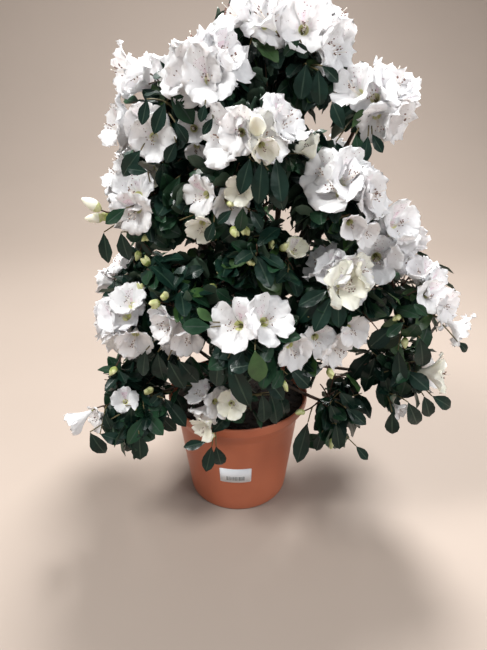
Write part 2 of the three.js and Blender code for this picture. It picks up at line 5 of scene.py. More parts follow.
import bpy
import numpy as np
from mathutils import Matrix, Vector


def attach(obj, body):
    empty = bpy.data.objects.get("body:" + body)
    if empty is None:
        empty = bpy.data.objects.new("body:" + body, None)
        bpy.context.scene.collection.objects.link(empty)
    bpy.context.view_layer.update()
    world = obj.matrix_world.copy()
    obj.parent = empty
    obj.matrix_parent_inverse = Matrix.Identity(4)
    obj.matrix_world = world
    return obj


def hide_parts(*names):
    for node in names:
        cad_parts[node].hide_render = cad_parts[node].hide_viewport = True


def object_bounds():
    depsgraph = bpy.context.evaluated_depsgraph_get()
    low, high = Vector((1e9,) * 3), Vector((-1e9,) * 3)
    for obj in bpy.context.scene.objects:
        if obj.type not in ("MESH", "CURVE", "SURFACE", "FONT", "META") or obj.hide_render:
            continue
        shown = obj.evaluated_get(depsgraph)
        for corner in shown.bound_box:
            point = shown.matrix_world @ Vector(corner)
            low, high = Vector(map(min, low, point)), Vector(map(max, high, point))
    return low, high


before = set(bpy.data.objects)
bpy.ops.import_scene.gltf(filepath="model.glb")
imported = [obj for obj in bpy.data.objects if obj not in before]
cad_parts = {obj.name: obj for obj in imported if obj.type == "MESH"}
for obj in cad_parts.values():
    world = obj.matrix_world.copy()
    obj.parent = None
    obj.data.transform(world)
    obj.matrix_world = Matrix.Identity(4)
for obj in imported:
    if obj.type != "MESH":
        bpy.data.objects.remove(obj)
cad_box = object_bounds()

MM = 0.001
SEED = 29

# The plant's plan, as in the source, in millimetres and degrees: the pot, its compost and sticker.
POT_HEIGHT = 162
POT_BASE_RADIUS = 73
POT_NECK_RADIUS = 88
POT_NECK_HEIGHT = 130
POT_RIM_RADIUS = 100
POT_BAND_HEIGHT = 150
POT_WALL = 2.8
POT_FLOOR = 4
SOIL_TOP = 146
SOIL_CROWN = 150
LABEL_WIDTH = 44
LABEL_HEIGHT = 26
LABEL_MID_HEIGHT = 71
LABEL_BEARING = 268

# The trunk, and the limbs, which start a gap clear of it and taper to their tips.
GAP = 0.3
TRUNK_HEIGHT = 66
TRUNK_ANKLE = 5
TRUNK_FLARE_RADIUS = 14
TRUNK_RADIUS = 9.5
TRUNK_TIP_RADIUS = 6
TRUNK_LEAN = 7
TRUNK_LEAN_BEARING = 70
TRUNK_STEPS = 5
STEM_TIP_RADIUS = 2.4
BOUGH_TIP_RADIUS = 1.9
GIRTH_PER_LENGTH = 0.009
TIP_GIRTH_SHARE = 0.98
SIDE_GIRTH_SHARE = 0.72
LIMB_STEP = 36
FEWEST_LIMB_STEPS = 4
FINE_TRUNK_STEPS = 40
FINE_LIMB_STEP = 3
FEWEST_FINE_STEPS = 12
# How a limb rises, goes out and bends, as shares of its length, and how it enters its mass.
RISE_SHARE = 0.5
OUT_SHARE = 0.35
BEND_SHARE = 0.62
BEND_LIFT = 0.12
ENTRY_SHARE = 0.66
ENTRY_STEP = 0.04
ENTRY_DEPTH = 9
# How far a root reaches back into what it grows from.
ROOT_DEPTH = 1.5

# A mass: its leader, its twigs, and the trusses and leafy tips at their ends.
TRUNK_SIDE_SHARE = 0.3
LEADER_BEND = 0.3
LEADER_STEPS = 2
LEADER_RADIUS = 2.3
LEADER_TIP_RADIUS = 1.9
TWIG_FROM = 0.4
TWIG_RANGE = 0.55
TIPS = 6
TIPS_WITH_NO_BLOOM = 7
TIPS_TRIED = 24
TIP_APART = 46
TIP_LIFT_SHARE = 0.8
GOLDEN_ANGLE = 137.508
LEAF_LENGTH = 58
FLOWER_DEPTH = 36
TRUSS_TILT = [0, 44, 52]
BEYOND = 18

# Each mass of foliage: its bearing from the pot's axis, its height, its reach from the axis, its
# spread, the limb that carries it, and its trusses of bloom as [bearing, lift, open flowers, turn
# about the truss's axis, size].
MASSES = {
    "crest_right": [349, 571, 74, 62, "stem_crest", [[306, 48, 3, 36, 1]]],
    "crest_left": [321, 596, 33, 60, "bough_crest_left", [[258, 30, 2, 168, 1]]],
    "upper_left": [245, 553, 62, 62, "bough_upper_left", [[270, 36, 3, 0, 1]]],
    "shoulder_left": [201, 525, 75, 66, "stem_left", [[156, 54, 2, 0, 1], [228, -6, 2, 0, 1]]],
    "left_mid": [210, 439, 99, 58, "bough_left_mid", [[216, 12, 2, 36, 1]]],
    "centre_upper": [278, 499, 91, 60, "stem_front", [[264, 18, 2, 0, 1], [330, 36, 1, 0, 1]]],
    "centre_mid": [262, 458, 90, 54, "bough_centre_mid", [[234, 0, 1, 0, 0.72], [282, -12, 1, 0, 0.7]]],
    "right_upper": [349, 534, 142, 56, "stem_right", [[300, 24, 3, 60, 1]]],
    "right_inner": [322, 440, 138, 58, "bough_right_inner", [[282, 36, 2, 168, 1]]],
    "right_mid": [343, 396, 166, 56, "bough_right_mid", [[320, 6, 3, 29, 0.94]]],
    "right_front": [320, 360, 153, 56, "bough_right_front", [[240, 36, 2, 156, 0.9]]],
    "left_low": [213, 304, 127, 58, "bough_left", [[216, 6, 3, 60, 1]]],
    "left_inner": [240, 336, 100, 60, "bough_left_inner", [[246, -18, 1, 0, 1]]],
    "front_centre": [278, 317, 120, 60, "bough_front", [[246, 24, 1, 0, 1], [294, 30, 1, 0, 1]]],
    "front_right": [310, 308, 130, 54, "bough_front_right", [[312, -18, 1, 0, 0.9], [276, 0, 1, 0, 0.75]]],
    "right_low": [341, 328, 210, 62, "bough_right", [[306, 54, 2, 108, 0.85], [324, 0, 1, 0, 0.85]]],
    "right_bottom": [343, 222, 214, 54, "bough_right_bottom", [[324, 18, 1, 0, 0.85]]],
    "left_bottom": [205, 178, 160, 60, "bough_left_bottom", [[222, 0, 1, 0, 0.75], [282, 42, 1, 0, 0.6]]],
    "pot_front": [251, 200, 80, 56, "trunk", [[252, 12, 3, 12, 0.75]]],
    "right_skirt": [330, 182, 140, 54, "bough_right_skirt", []],
    "centre_low": [288, 376, 94, 56, "bough_centre_low", []],
    "back_top": [110, 540, 62, 64, "stem_back", [[100, 40, 3, 268, 1]]],
    "back_left": [150, 440, 116, 66, "bough_back_left", [[150, 20, 2, 346, 1]]],
    "back_right": [40, 450, 112, 66, "bough_back_right", [[45, 22, 3, 159, 1]]],
    "back_mid": [95, 372, 128, 66, "bough_back_mid", [[95, 14, 2, 324, 1]]],
    "back_low_left": [152, 290, 158, 64, "bough_back_low_left", [[160, 16, 2, 85, 1]]],
    "back_low_right": [32, 300, 172, 66, "bough_back_low_right", [[28, 20, 2, 173, 1]]],
    "back_low": [92, 236, 158, 64, "bough_back", [[90, 20, 2, 43, 1]]],
}

# Each limb: the one that it grows from, the share of that one's length at which it leaves, and how
# strongly it rises before it turns out to its mass.
LIMBS = {
    "stem_crest": ["trunk", 1, 0.5],
    "stem_left": ["trunk", 0.86, 0.6],
    "stem_right": ["trunk", 0.74, 0.55],
    "stem_front": ["trunk", 0.8, 0.6],
    "stem_back": ["trunk", 0.68, 0.6],
    "bough_left": ["trunk", 0.56, 0.3],
    "bough_front": ["trunk", 0.52, 0.3],
    "bough_right": ["trunk", 0.48, 0.25],
    "bough_back": ["trunk", 0.44, 0.25],
    "bough_crest_left": ["stem_crest", 0.72, 0.4],
    "bough_upper_left": ["stem_crest", 0.56, 0.5],
    "bough_left_mid": ["stem_left", 0.6, 0.35],
    "bough_left_inner": ["stem_left", 0.16, 0.4],
    "bough_centre_mid": ["stem_front", 0.56, 0.35],
    "bough_centre_low": ["stem_front", 0.34, 0.4],
    "bough_right_inner": ["stem_right", 0.52, 0.3],
    "bough_right_mid": ["stem_right", 0.36, 0.3],
    "bough_right_front": ["stem_right", 0.2, 0.3],
    "bough_front_right": ["bough_front", 0.3, 0.2],
    "bough_right_bottom": ["bough_right", 0.34, 0.1],
    "bough_right_skirt": ["bough_right", 0.14, 0.1],
    "bough_left_bottom": ["bough_left", 0.2, 0.1],
    "bough_back_left": ["stem_back", 0.5, 0.35],
    "bough_back_right": ["stem_back", 0.6, 0.35],
    "bough_back_mid": ["stem_back", 0.34, 0.35],
    "bough_back_low_left": ["bough_back", 0.3, 0.3],
    "bough_back_low_right": ["bough_back", 0.22, 0.3],
}

# Chance, directions and curves.

UP = np.array([0.0, 0.0, 1.0])
LEVEL = np.array([1.0, 1.0, 0.0])


def chance(*keys):
    """A number from 0 to 1 that depends only on the seed and the keys. The last key tells one draw
    from another."""
    h = SEED
    for key in keys:
        h = ((h ^ (key + 0x9E3779B9)) * 0x85EBCA6B) & 0xFFFFFFFF
        h ^= h >> 13
        h = (h * 0xC2B2AE35) & 0xFFFFFFFF
        h ^= h >> 16
    return h / 4294967296


def heading(bearing, lift):
    """The direction of a bearing and a lift in degrees."""
    a, b = math.radians(bearing), math.radians(lift)
    return np.array([math.cos(b) * math.cos(a), math.cos(b) * math.sin(a), math.sin(b)])


def unit(v):
    return v / np.linalg.norm(v)


def square_to(axis):
    """Two directions square to an axis and to each other."""
    helper = UP if abs(axis[2]) < 0.9 else np.array([1.0, 0.0, 0.0])
    side = unit(np.cross(helper, axis))
    return side, np.cross(axis, side)


def leaned(axis, tilt, turn):
    """The direction that leans from axis by tilt degrees, turned round it by turn degrees."""
    side, over = square_to(axis)
    t, a = math.radians(tilt), math.radians(turn)
    return math.cos(t) * axis + math.sin(t) * (math.cos(a) * side + math.sin(a) * over)


def angle_between(a, b):
    return math.degrees(math.acos(max(-1.0, min(1.0, float(np.dot(a, b))))))


def bezier(controls, steps):
    """Points at even steps of a Bezier curve with three or four control points."""
    t = np.linspace(0, 1, steps + 1)[:, None]
    degree = len(controls) - 1
    return sum(
        math.comb(degree, i) * (1 - t) ** (degree - i) * t**i * np.asarray(c)
        for i, c in enumerate(controls)
    )


def along(points, share):
    """The point and direction at a share of a line."""
    place = share * (len(points) - 1)
    i = min(int(place), len(points) - 2)
    part = place - i
    return points[i] * (1 - part) + points[i + 1] * part, unit(points[i + 1] - points[i])


def curved(a, b, lift, steps):
    """A line from a to b that bows upward."""
    return bezier([a, (a + b) / 2 + UP * lift, b], steps)


def spiral(k, total, turn, lift_share=1.0):
    """The kth of so many directions, spread evenly from the top down, and turned by a share."""
    lift = math.degrees(math.asin(1 - (2 * k + 1) / total))
    return heading(k * GOLDEN_ANGLE + 360 * turn, lift * lift_share)


def turns(sides):
    """The angles of the corners of a ring."""
    return np.arange(sides) * 2 * math.pi / sides


# Masses and limbs.

names = list(MASSES)
mass_nodes = ["mass_" + name for name in names]
centres = np.array([heading(MASSES[n][0], 0) * MASSES[n][2] + UP * MASSES[n][1] for n in names])
spreads = np.array([float(MASSES[n][3]) for n in names])


def depth_inside(point, index):
    """How far a point lies inside a mass's share of the space between the masses."""
    power = ((point - centres) ** 2).sum(1) - spreads**2
    apart = np.linalg.norm(centres - centres[index], axis=1)
    others = np.arange(len(names)) != index
    return float(((power - power[index])[others] / (2 * apart[others])).min())


def entry_point(index, start):
    """Where a limb from start ends, well inside its mass."""
    back = unit(start - centres[index])
    share = ENTRY_SHARE
    while True:
        point = centres[index] + back * share * spreads[index]
        share -= ENTRY_STEP
        if depth_inside(point, index) >= ENTRY_DEPTH or share <= ENTRY_STEP:
            return point


def trunk_line():
    """The trunk's points and radii, as in the source and finer."""
    foot = UP * (SOIL_CROWN + GAP)
    ankle = foot + UP * TRUNK_ANKLE
    top = heading(TRUNK_LEAN_BEARING, 0) * TRUNK_LEAN + UP * (foot[2] + TRUNK_HEIGHT)
    bend = ankle.copy()
    bend[2] = (ankle[2] + top[2]) / 2

    def line(steps):
        points = np.vstack([foot, bezier([ankle, bend, top], steps)])
        share = (points[:, 2] - foot[2]) / TRUNK_HEIGHT
        flare = (TRUNK_FLARE_RADIUS - TRUNK_RADIUS) * np.maximum(0, 1 - share * 3) ** 2
        return points, TRUNK_RADIUS + (TRUNK_TIP_RADIUS - TRUNK_RADIUS) * share + flare

    return line(TRUNK_STEPS), line(FINE_TRUNK_STEPS)


def radius_at(line, share):
    """The radius at a share of a line of points and radii."""
    radii = line[1]
    return np.interp(share * (len(radii) - 1), range(len(radii)), radii)


def limb_line(name):
    """A limb's points and radii, as in the source and finer."""
    parent, leaves, rise = LIMBS[name]
    index = next(i for i, n in enumerate(names) if MASSES[n][4] == name)
    point, direction = along(coarse[parent][0], leaves)
    from_tip = leaves == 1
    start = point + direction * (GAP if from_tip else 0)
    tip = entry_point(index, start)
    length = np.linalg.norm(tip - start)
    out = unit((centres[index] - start) * LEVEL)
    first = start + (direction if from_tip else UP) * rise * length * RISE_SHARE
    first = first + out * (1 - rise) * length * OUT_SHARE
    second = start + (tip - start) * BEND_SHARE + UP * rise * length * BEND_LIFT
    most = radius_at(coarse[parent], leaves) * (TIP_GIRTH_SHARE if from_tip else SIDE_GIRTH_SHARE)
    tip_radius = STEM_TIP_RADIUS if name.startswith("stem") else BOUGH_TIP_RADIUS
    root_radius = min(most, tip_radius + length * GIRTH_PER_LENGTH)

    def line(steps):
        return bezier([start, first, second, tip], steps), np.linspace(root_radius, tip_radius, steps + 1)

    fine_steps = max(FEWEST_FINE_STEPS, int(length / FINE_LIMB_STEP))
    return line(max(FEWEST_LIMB_STEPS, round(length / LIMB_STEP))), line(fine_steps)


coarse, fine = {}, {}
coarse["trunk"], fine["trunk"] = trunk_line()
for limb in LIMBS:
    coarse[limb], fine[limb] = limb_line(limb)

wood_points = np.vstack([points for points, _ in fine.values()])
wood_radii = np.concatenate([radii for _, radii in fine.values()])

# How far a point keeps from the pot, from the compost, and from the trunk and the limbs.
POT_ROOM = 2.0
SOIL_ROOM = 6
WOOD_ROOM = 0.8


def pot_radius(height):
    heights = [0, POT_NECK_HEIGHT, POT_BAND_HEIGHT, POT_HEIGHT]
    return np.interp(height, heights, [POT_BASE_RADIUS, POT_NECK_RADIUS, POT_RIM_RADIUS, POT_RIM_RADIUS])


def clear_of_pot(point, room=POT_ROOM):
    """Whether a point is clear of the pot and what is in it."""
    across = math.hypot(point[0], point[1])
    over_soil = point[2] > SOIL_TOP + SOIL_ROOM and across < POT_RIM_RADIUS - POT_WALL - room
    return over_soil or point[2] > POT_HEIGHT + room or across > pot_radius(point[2]) + room


def clear_of_wood(points, room=WOOD_ROOM):
    gaps = np.linalg.norm(points[:, None] - wood_points[None], axis=2) - wood_radii[None]
    return bool(gaps.min() > room)


# The photograph's view, which the camera takes: the picture's size and focal length in its pixels,
# where the eye is and how far it looks down.
PICTURE_WIDTH, PICTURE_HEIGHT = 487, 650
FOCAL_LENGTH = 490
EYE = np.array([8.2, -609.0, 545.0])
EYE_TILT = 24.8
AHEAD = heading(90, -EYE_TILT)
RIGHT = np.array([1.0, 0.0, 0.0])
OVER = np.cross(RIGHT, AHEAD)


def seen_at(across, down, index, share):
    """Where the line of sight through a place in the picture meets a mass's sphere, its spread taken
    times share, or where it comes nearest to its centre."""
    aside = RIGHT * (across - PICTURE_WIDTH / 2) - OVER * (down - PICTURE_HEIGHT / 2)
    sight = unit(AHEAD * FOCAL_LENGTH + aside)
    off = EYE - centres[index]
    near = -np.dot(off, sight)
    inside = near**2 - np.dot(off, off) + (share * spreads[index]) ** 2
    return EYE + sight * (near - math.sqrt(max(0.0, inside)))


# Piles of small things, joined by kind.

# The heights from which a mass belongs to the crown's crest or middle.
CREST_FROM = 480
MIDDLE_FROM = 330


def part_of_crown(index):
    """Which of the crown's four parts a mass belongs to."""
    if names[index].startswith("back"):
        return "back"
    height = centres[index][2]
    return "crest" if height > CREST_FROM else "middle" if height > MIDDLE_FROM else "low"


def joined(things):
    """Things, each as its points, its triangles and their material numbers, as one."""
    points, faces, looks, count = [], [], [], 0
    for pts, tris, kinds in things:
        points.append(pts)
        faces.append(tris + count)
        looks.append(np.full(len(tris), kinds) if np.isscalar(kinds) else kinds)
        count += len(pts)
    return np.vstack(points), np.vstack(faces), np.concatenate(looks)


def placed(name, data):
    """An object in the scene."""
    thing = bpy.data.objects.new(name, data)
    bpy.context.scene.collection.objects.link(thing)
    return thing


class Pile:
    """Things of one kind, which become one piece in place of the nodes that they belong to."""

    def __init__(self, name, slot, materials):
        self.name, self.slot, self.materials = name, slot, materials
        self.things, self.nodes = [], set()

    def add(self, node, points, faces, looks):
        self.nodes.add(node)
        self.things.append((points, faces, looks))

    def make(self):
        points, faces, looks = joined(self.things)
        mesh = bpy.data.meshes.new(self.name)
        mesh.from_pydata((points * MM).tolist(), [], faces.tolist())
        for look in self.materials:
            mesh.materials.append(look)
        mesh.polygons.foreach_set("material_index", looks.astype(np.int32))
        mesh.polygons.foreach_set("use_smooth", np.ones(len(faces), bool))
        mesh.update()
        piece = placed(self.name, mesh)
        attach(piece, "root")
        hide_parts(*sorted(self.nodes))


def grid_faces(rows, columns, closed=False):
    """Triangles of a grid of points, row by row."""
    faces = []
    for i in range(rows - 1):
        for k in range(columns if closed else columns - 1):
            a, b = i * columns + k, i * columns + (k + 1) % columns
            faces += [[a, b, b + columns], [a, b + columns, a + columns]]
    return np.array(faces)


def grid_normals(grid):
    normals = np.cross(np.gradient(grid, axis=1), np.gradient(grid, axis=0))
    return normals / np.maximum(np.linalg.norm(normals, axis=2, keepdims=True), 1e-9)


def shell(grid, thick):
    """A thin closed sheet: the grid, and its back, which meets it along the edges."""
    rows, columns = grid.shape[:2]
    inner = np.zeros((rows, columns, 1))
    inner[1:-1, 1:-1] = 1
    back = grid - grid_normals(grid) * thick * inner
    faces = grid_faces(rows, columns)
    points = np.vstack([grid.reshape(-1, 3), back.reshape(-1, 3)])
    return points, np.vstack([faces, faces[:, ::-1] + rows * columns])


def capped(rings, low, high):
    """A closed skin over rings of points, with a point in the middle of each end."""
    sides = len(rings[0])
    first = len(rings) * sides
    base = first - sides
    caps = []
    for k in range(sides):
        after = (k + 1) % sides
        caps += [[first, after, k], [first + 1, base + k, base + after]]
    return np.vstack(rings + [[low], [high]]), np.vstack([grid_faces(len(rings), sides, True), caps])


def tube(points, radii, sides, wobble=None):
    """A closed tube through points. wobble(i, angles) is each ring point's share of its radius."""
    side, _ = square_to(unit(points[1] - points[0]))
    angles = turns(sides)
    rings = []
    for i, point in enumerate(points):
        direction = unit(points[min(i + 1, len(points) - 1)] - points[max(i - 1, 0)])
        side = unit(side - direction * np.dot(side, direction))
        over = np.cross(direction, side)
        r = np.broadcast_to(radii[i] * (wobble(i, angles) if wobble else 1.0), angles.shape)
        rings.append(point + (r * np.cos(angles))[:, None] * side + (r * np.sin(angles))[:, None] * over)
    return capped(rings, points[0], points[-1])


# Materials.


def set_inputs(node, **values):
    """A node with values at its inputs."""
    for socket, value in values.items():
        node.inputs[socket.replace("_", " ")].default_value = value
    return node


def material(name, dark, light, roughness, scale=60.0, bump=0.0, bump_scale=300.0, **fixed):
    """A material whose colour, roughness and relief vary with noise."""
    mat = bpy.data.materials.new(name)
    mat.use_nodes = True
    nodes, links = mat.node_tree.nodes, mat.node_tree.links
    shader = set_inputs(nodes["Principled BSDF"], **fixed)
    place = nodes.new("ShaderNodeTexCoord")

    def noise(scale, detail):
        made = set_inputs(nodes.new("ShaderNodeTexNoise"), Scale=scale, Detail=detail)
        links.new(place.outputs["Object"], made.inputs["Vector"])
        return made.outputs["Fac"]

    spots = noise(scale, 4.0)
    ramp = nodes.new("ShaderNodeValToRGB")
    low, high = ramp.color_ramp.elements
    low.position, high.position = 0.32, 0.68
    low.color, high.color = (*dark, 1), (*light, 1)
    links.new(spots, ramp.inputs["Fac"])
    links.new(ramp.outputs["Color"], shader.inputs["Base Color"])
    span = set_inputs(nodes.new("ShaderNodeMapRange"), From_Min=0.3, From_Max=0.7)
    set_inputs(span, To_Min=roughness[0], To_Max=roughness[1])
    links.new(spots, span.inputs["Value"])
    links.new(span.outputs["Result"], shader.inputs["Roughness"])
    if bump:
        relief = set_inputs(nodes.new("ShaderNodeBump"), Strength=bump, Distance=MM)
        links.new(noise(bump_scale, 5.0), relief.inputs["Height"])
        links.new(relief.outputs["Normal"], shader.inputs["Normal"])
    return mat


THIN = dict(Subsurface_Weight=0.35, Subsurface_Scale=0.003, Subsurface_Radius=(1.0, 0.9, 0.9))
MATT = (0.45, 0.6)
petal = material("petal_white", (0.885, 0.875, 0.89), (0.96, 0.952, 0.96), MATT, 45, 0.8, 230, **THIN)
petal_tint = material("petal_tint", (0.88, 0.81, 0.85), (0.94, 0.89, 0.92), MATT, 70, 0.8, 230, **THIN)
petal_blush = material("petal_blush", (0.85, 0.66, 0.75), (0.91, 0.77, 0.84), MATT, 70, 0.8, 230, **THIN)
petal_throat = material("petal_throat", (0.66, 0.68, 0.30), (0.80, 0.78, 0.48), MATT, 70, 0.2, 500)
petal_cream = material("petal_cream", (0.85, 0.83, 0.66), (0.94, 0.93, 0.83), MATT, 60, 0.3, 260, **THIN)
speck_red = material("petal_speck", (0.16, 0.02, 0.06), (0.28, 0.05, 0.10), (0.5, 0.6), 200)
filament = material("filament", (0.82, 0.76, 0.70), (0.92, 0.86, 0.80), MATT, 100)
anther_dark = material("anther", (0.10, 0.045, 0.04), (0.24, 0.13, 0.09), (0.6, 0.8), 300, 0.4, 900)
bud_green = material("bud_green", (0.28, 0.36, 0.08), (0.50, 0.56, 0.18), (0.4, 0.6), 150, 0.3, 500)
calyx_green = material("calyx", (0.14, 0.13, 0.05), (0.30, 0.30, 0.12), (0.4, 0.6), 150, 0.3, 500)
bud_pale = material("bud_pale", (0.52, 0.56, 0.22), (0.74, 0.74, 0.42), (0.4, 0.6), 150, 0.3, 500)
SHINE = (0.3, 0.45)
GLOSS = dict(Specular_IOR_Level=0.14, Coat_Weight=0.22, Coat_Roughness=0.17)
leaf_dark = material("leaf_dark", (0.004, 0.016, 0.011), (0.009, 0.029, 0.020), SHINE, 55, 0.8, 170, **GLOSS)
leaf_mid = material("leaf_mid", (0.008, 0.030, 0.015), (0.018, 0.055, 0.026), SHINE, 55, 0.8, 170, **GLOSS)
leaf_young = material("leaf_young", (0.022, 0.062, 0.016), (0.05, 0.115, 0.03), (0.3, 0.42), 70, 0.4, 220)
leaf_rib = material("leaf_rib", (0.008, 0.028, 0.016), (0.020, 0.050, 0.028), (0.4, 0.5), 90)
leaf_under = material("leaf_under", (0.030, 0.06, 0.038), (0.055, 0.095, 0.06), (0.5, 0.65), 60, 0.4, 300)
twig_brown = material("twig_bark", (0.045, 0.022, 0.014), (0.12, 0.062, 0.036), (0.6, 0.8), 120, 0.6, 700)
twig_green = material("twig_green", (0.09, 0.08, 0.03), (0.17, 0.13, 0.05), (0.5, 0.7), 120, 0.4, 700)
limb_bark = material("limb_bark", (0.035, 0.022, 0.016), (0.115, 0.078, 0.055), (0.75, 0.95), 90, 0.9, 450)
peat = material("peat", (0.006, 0.004, 0.003), (0.030, 0.019, 0.013), (0.85, 1.0), 180, 1.0, 700)
clay = material("pot_plastic", (0.45, 0.12, 0.055), (0.51, 0.15, 0.072), (0.36, 0.5), 18, 0.12, 900)
paper = material("label_paper", (0.76, 0.79, 0.83), (0.84, 0.86, 0.89), (0.5, 0.65), 90, 0.1, 900)
ink = material("label_bars", (0.05, 0.07, 0.07), (0.09, 0.11, 0.11), (0.5, 0.65), 200)

# Leaves.

# Where a leaf has its rows of points, from its root to its tip, and where each row has them.
LEAF_STATIONS = [0.07, 0.22, 0.42, 0.62, 0.80, 0.93]
LEAF_ACROSS = [-1, -0.09, 0.09, 1]
# The powers that set how far out a leaf is broadest and how blunt its ends are, how high its pleats
# are, how close its ripples, how much more its tip droops, and the midrib's strip and depth.
LEAF_BROADEST = 1.25
LEAF_BLUNT = 0.85
LEAF_PLEAT = 0.018
RIPPLES = 9.0
TIP_DROOP = 1.06
RIB_STRIP = 1
RIB_DEPTH = 0.012


def leaf_form(droop, fold, wave, full):
    """A leaf 1 long: points with x along it, y across and z up, its triangles, and which of them
    are blade (0), midrib (1) and underside (2)."""
    top, under = [], []
    for x in LEAF_STATIONS:
        width = full * math.sin(math.pi * x**LEAF_BROADEST) ** LEAF_BLUNT
        level = -droop * x**2
        pleat = LEAF_PLEAT * (-1) ** len(under)
        row = []
        for y in LEAF_ACROSS:
            ripple = wave * np.sign(y) * y**2 * math.sin(RIPPLES * x + 40 * wave) + pleat * abs(y)
            row.append([x, y * width, level + fold * abs(y) * width + ripple])
        top += row
        middle = np.mean([row[1], row[2]], axis=0) - [0, 0, RIB_DEPTH]
        under += [row[0], middle, row[-1]]
    base, tip = [0, 0, 0], [1, 0, -droop * TIP_DROOP]
    n, rows = len(LEAF_ACROSS), len(LEAF_STATIONS)
    faces = grid_faces(rows, n).tolist()
    looks = [1 if (k // 2) % (n - 1) == RIB_STRIP else 0 for k in range(len(faces))]
    b, t = rows * n, rows * n + 1
    for k in range(n - 1):
        faces += [[b, k + 1, k], [t, (rows - 1) * n + k, (rows - 1) * n + k + 1]]
        looks += [1 if k == RIB_STRIP else 0] * 2
    start = t + 1
    low = (grid_faces(rows, 3)[:, ::-1] + start).tolist()
    for k in range(2):
        low += [[b, start + k, start + k + 1]]
        low += [[t, start + (rows - 1) * 3 + k + 1, start + (rows - 1) * 3 + k]]
    points = np.vstack([top, [base, tip], under])
    return points, np.array(faces + low)[:, ::-1], np.array(looks + [2] * len(low))


# Leaves that droop, fold and ripple more or less, some fuller than others.
LEAF_FORMS = [
    leaf_form(0.10, 0.26, 0.014, 0.240),
    leaf_form(0.20, 0.16, 0.024, 0.270),
    leaf_form(0.04, 0.36, 0.010, 0.230),
    leaf_form(0.28, 0.20, 0.018, 0.260),
    leaf_form(0.14, 0.12, 0.028, 0.295),
    leaf_form(-0.06, 0.28, 0.016, 0.245),
    leaf_form(0.36, 0.22, 0.014, 0.265),
]
# The points of a leaf that are tested for room: its edges and its midrib, from the second row on.
LEAF_PROBES = [row * len(LEAF_ACROSS) + k for row in range(1, len(LEAF_STATIONS)) for k in (0, 1, 3)]
LEAF_TINTS = [leaf_dark, leaf_mid, leaf_young]
DARK, MID, YOUNG = range(3)
PARTS = ["crest", "middle", "low", "back"]
leaves = {part: Pile("leaves_" + part, "foliage", LEAF_TINTS + [leaf_rib, leaf_under]) for part in PARTS}
twigs = Pile("twigs", "bark", [twig_brown, twig_green])


def picked(forms, luck):
    return forms[int(luck * len(forms)) % len(forms)]


def add_leaf(index, root, direction, face, length, width, luck, tint, alone=False):
    """A leaf of a mass, unless a flower is in its way. One that stands alone heeds no flower."""
    across = unit(np.cross(face, direction))
    normal = np.cross(direction, across)
    points, faces, kinds = picked(LEAF_FORMS, luck)
    turned = root + (points * [length, width, length]) @ np.vstack([direction, across, normal])
    if not alone and blocked(turned[LEAF_PROBES]):
        return False
    plain_rib = 1 if tint == YOUNG else 0
    looks = np.where(kinds <= plain_rib, tint, kinds + len(LEAF_TINTS) - 1)
    leaves[part_of_crown(index)].add(mass_nodes[index], turned, faces, looks)
    return True


# Flowers.

LOBES = 5
# A petal's stations from the flower's root to its tip: how far out and up it is when it is open,
# and when it is shut.
PETAL_V = np.array([0, 0.12, 0.25, 0.38, 0.50, 0.62, 0.74, 0.85, 0.94, 1.0])
OPEN_R = np.array([2.0, 3.3, 5.4, 9.0, 13.2, 17.8, 22.2, 26.0, 28.4, 29.4])
OPEN_Z = np.array([3.0, 7.5, 12.5, 18.0, 22.8, 26.8, 29.8, 31.2, 31.2, 30.6])
SHUT_R = np.array([2.0, 3.0, 4.6, 6.8, 8.9, 10.6, 11.8, 12.0, 11.2, 9.8])
SHUT_Z = np.array([3.0, 8.0, 14.0, 20.0, 26.0, 31.5, 36.5, 40.5, 43.5, 45.0])
PETAL_COLUMNS = 12
PETAL_THICK = 0.4
# From where the lobes part, where each is broadest, half its breadth there, and the ranges of its
# breadth, length, bend, twist and turn.
SPLIT = 0.34
SHOULDER = 0.58
LOBE_BREADTH = 14.3
BREADTHS = (-1.0, 1.6)
LENGTHS = (-0.07, 0.07)
BENDS = (-7.5, 3.5)
TWISTS = (-3.0, 3.0)
TURNS = (-5, 5)
# A lobe's frills as [waves round its edge, height], its waves in and out, and its middle furrow.
FRILLS = [[5, 1.9], [10, 1.3]]
SIDE_WAVES = 6
FURROW_WIDTH = 0.2
FURROW_DEPTH = 0.9
WHITE, TINT, BLUSH, THROAT, SPECK, FILAMENT, ANTHER, GREEN = range(8)
THROAT_ROWS = 2
# Specks: between which rows of a lobe, their radii and sides, and how many on the upper lobe and on
# the two beside it, and how far from its middle.
SPECK_ROWS = (3.0, 6.4)
SPECK_SIZES = (0.28, 0.55)
SPECK_SIDES = 5
SPECKS = {0: (16, 3.2), 1: (2, 1.8), 4: (2, 1.8)}
# Stamens and the style: their reach, how far they stray, and the radii of filament and anther.
STAMENS = 8
STAMEN_REACH = (27, 36)
STYLE_REACH = 40
STAMEN_STRAY = (2.0, 7.0)
STAMEN_RADIUS = 0.26
STYLE_RADIUS = 0.36
ANTHER_RADII = np.array([0.3, 0.8, 0.75, 0.3])
# The pedicel and the calyx, as [height, radius].
STALK = [[-1.0, 0.9], [2.0, 1.0], [4.0, 1.9], [6.5, 2.1]]
STALK_SIDES = 8
# A bud's rows of points, and how deep its folds are and how far they turn, in radians.
BUD_ROWS = 8
FOLD_DEPTH = 0.14
FOLD_TWIST = 3.0


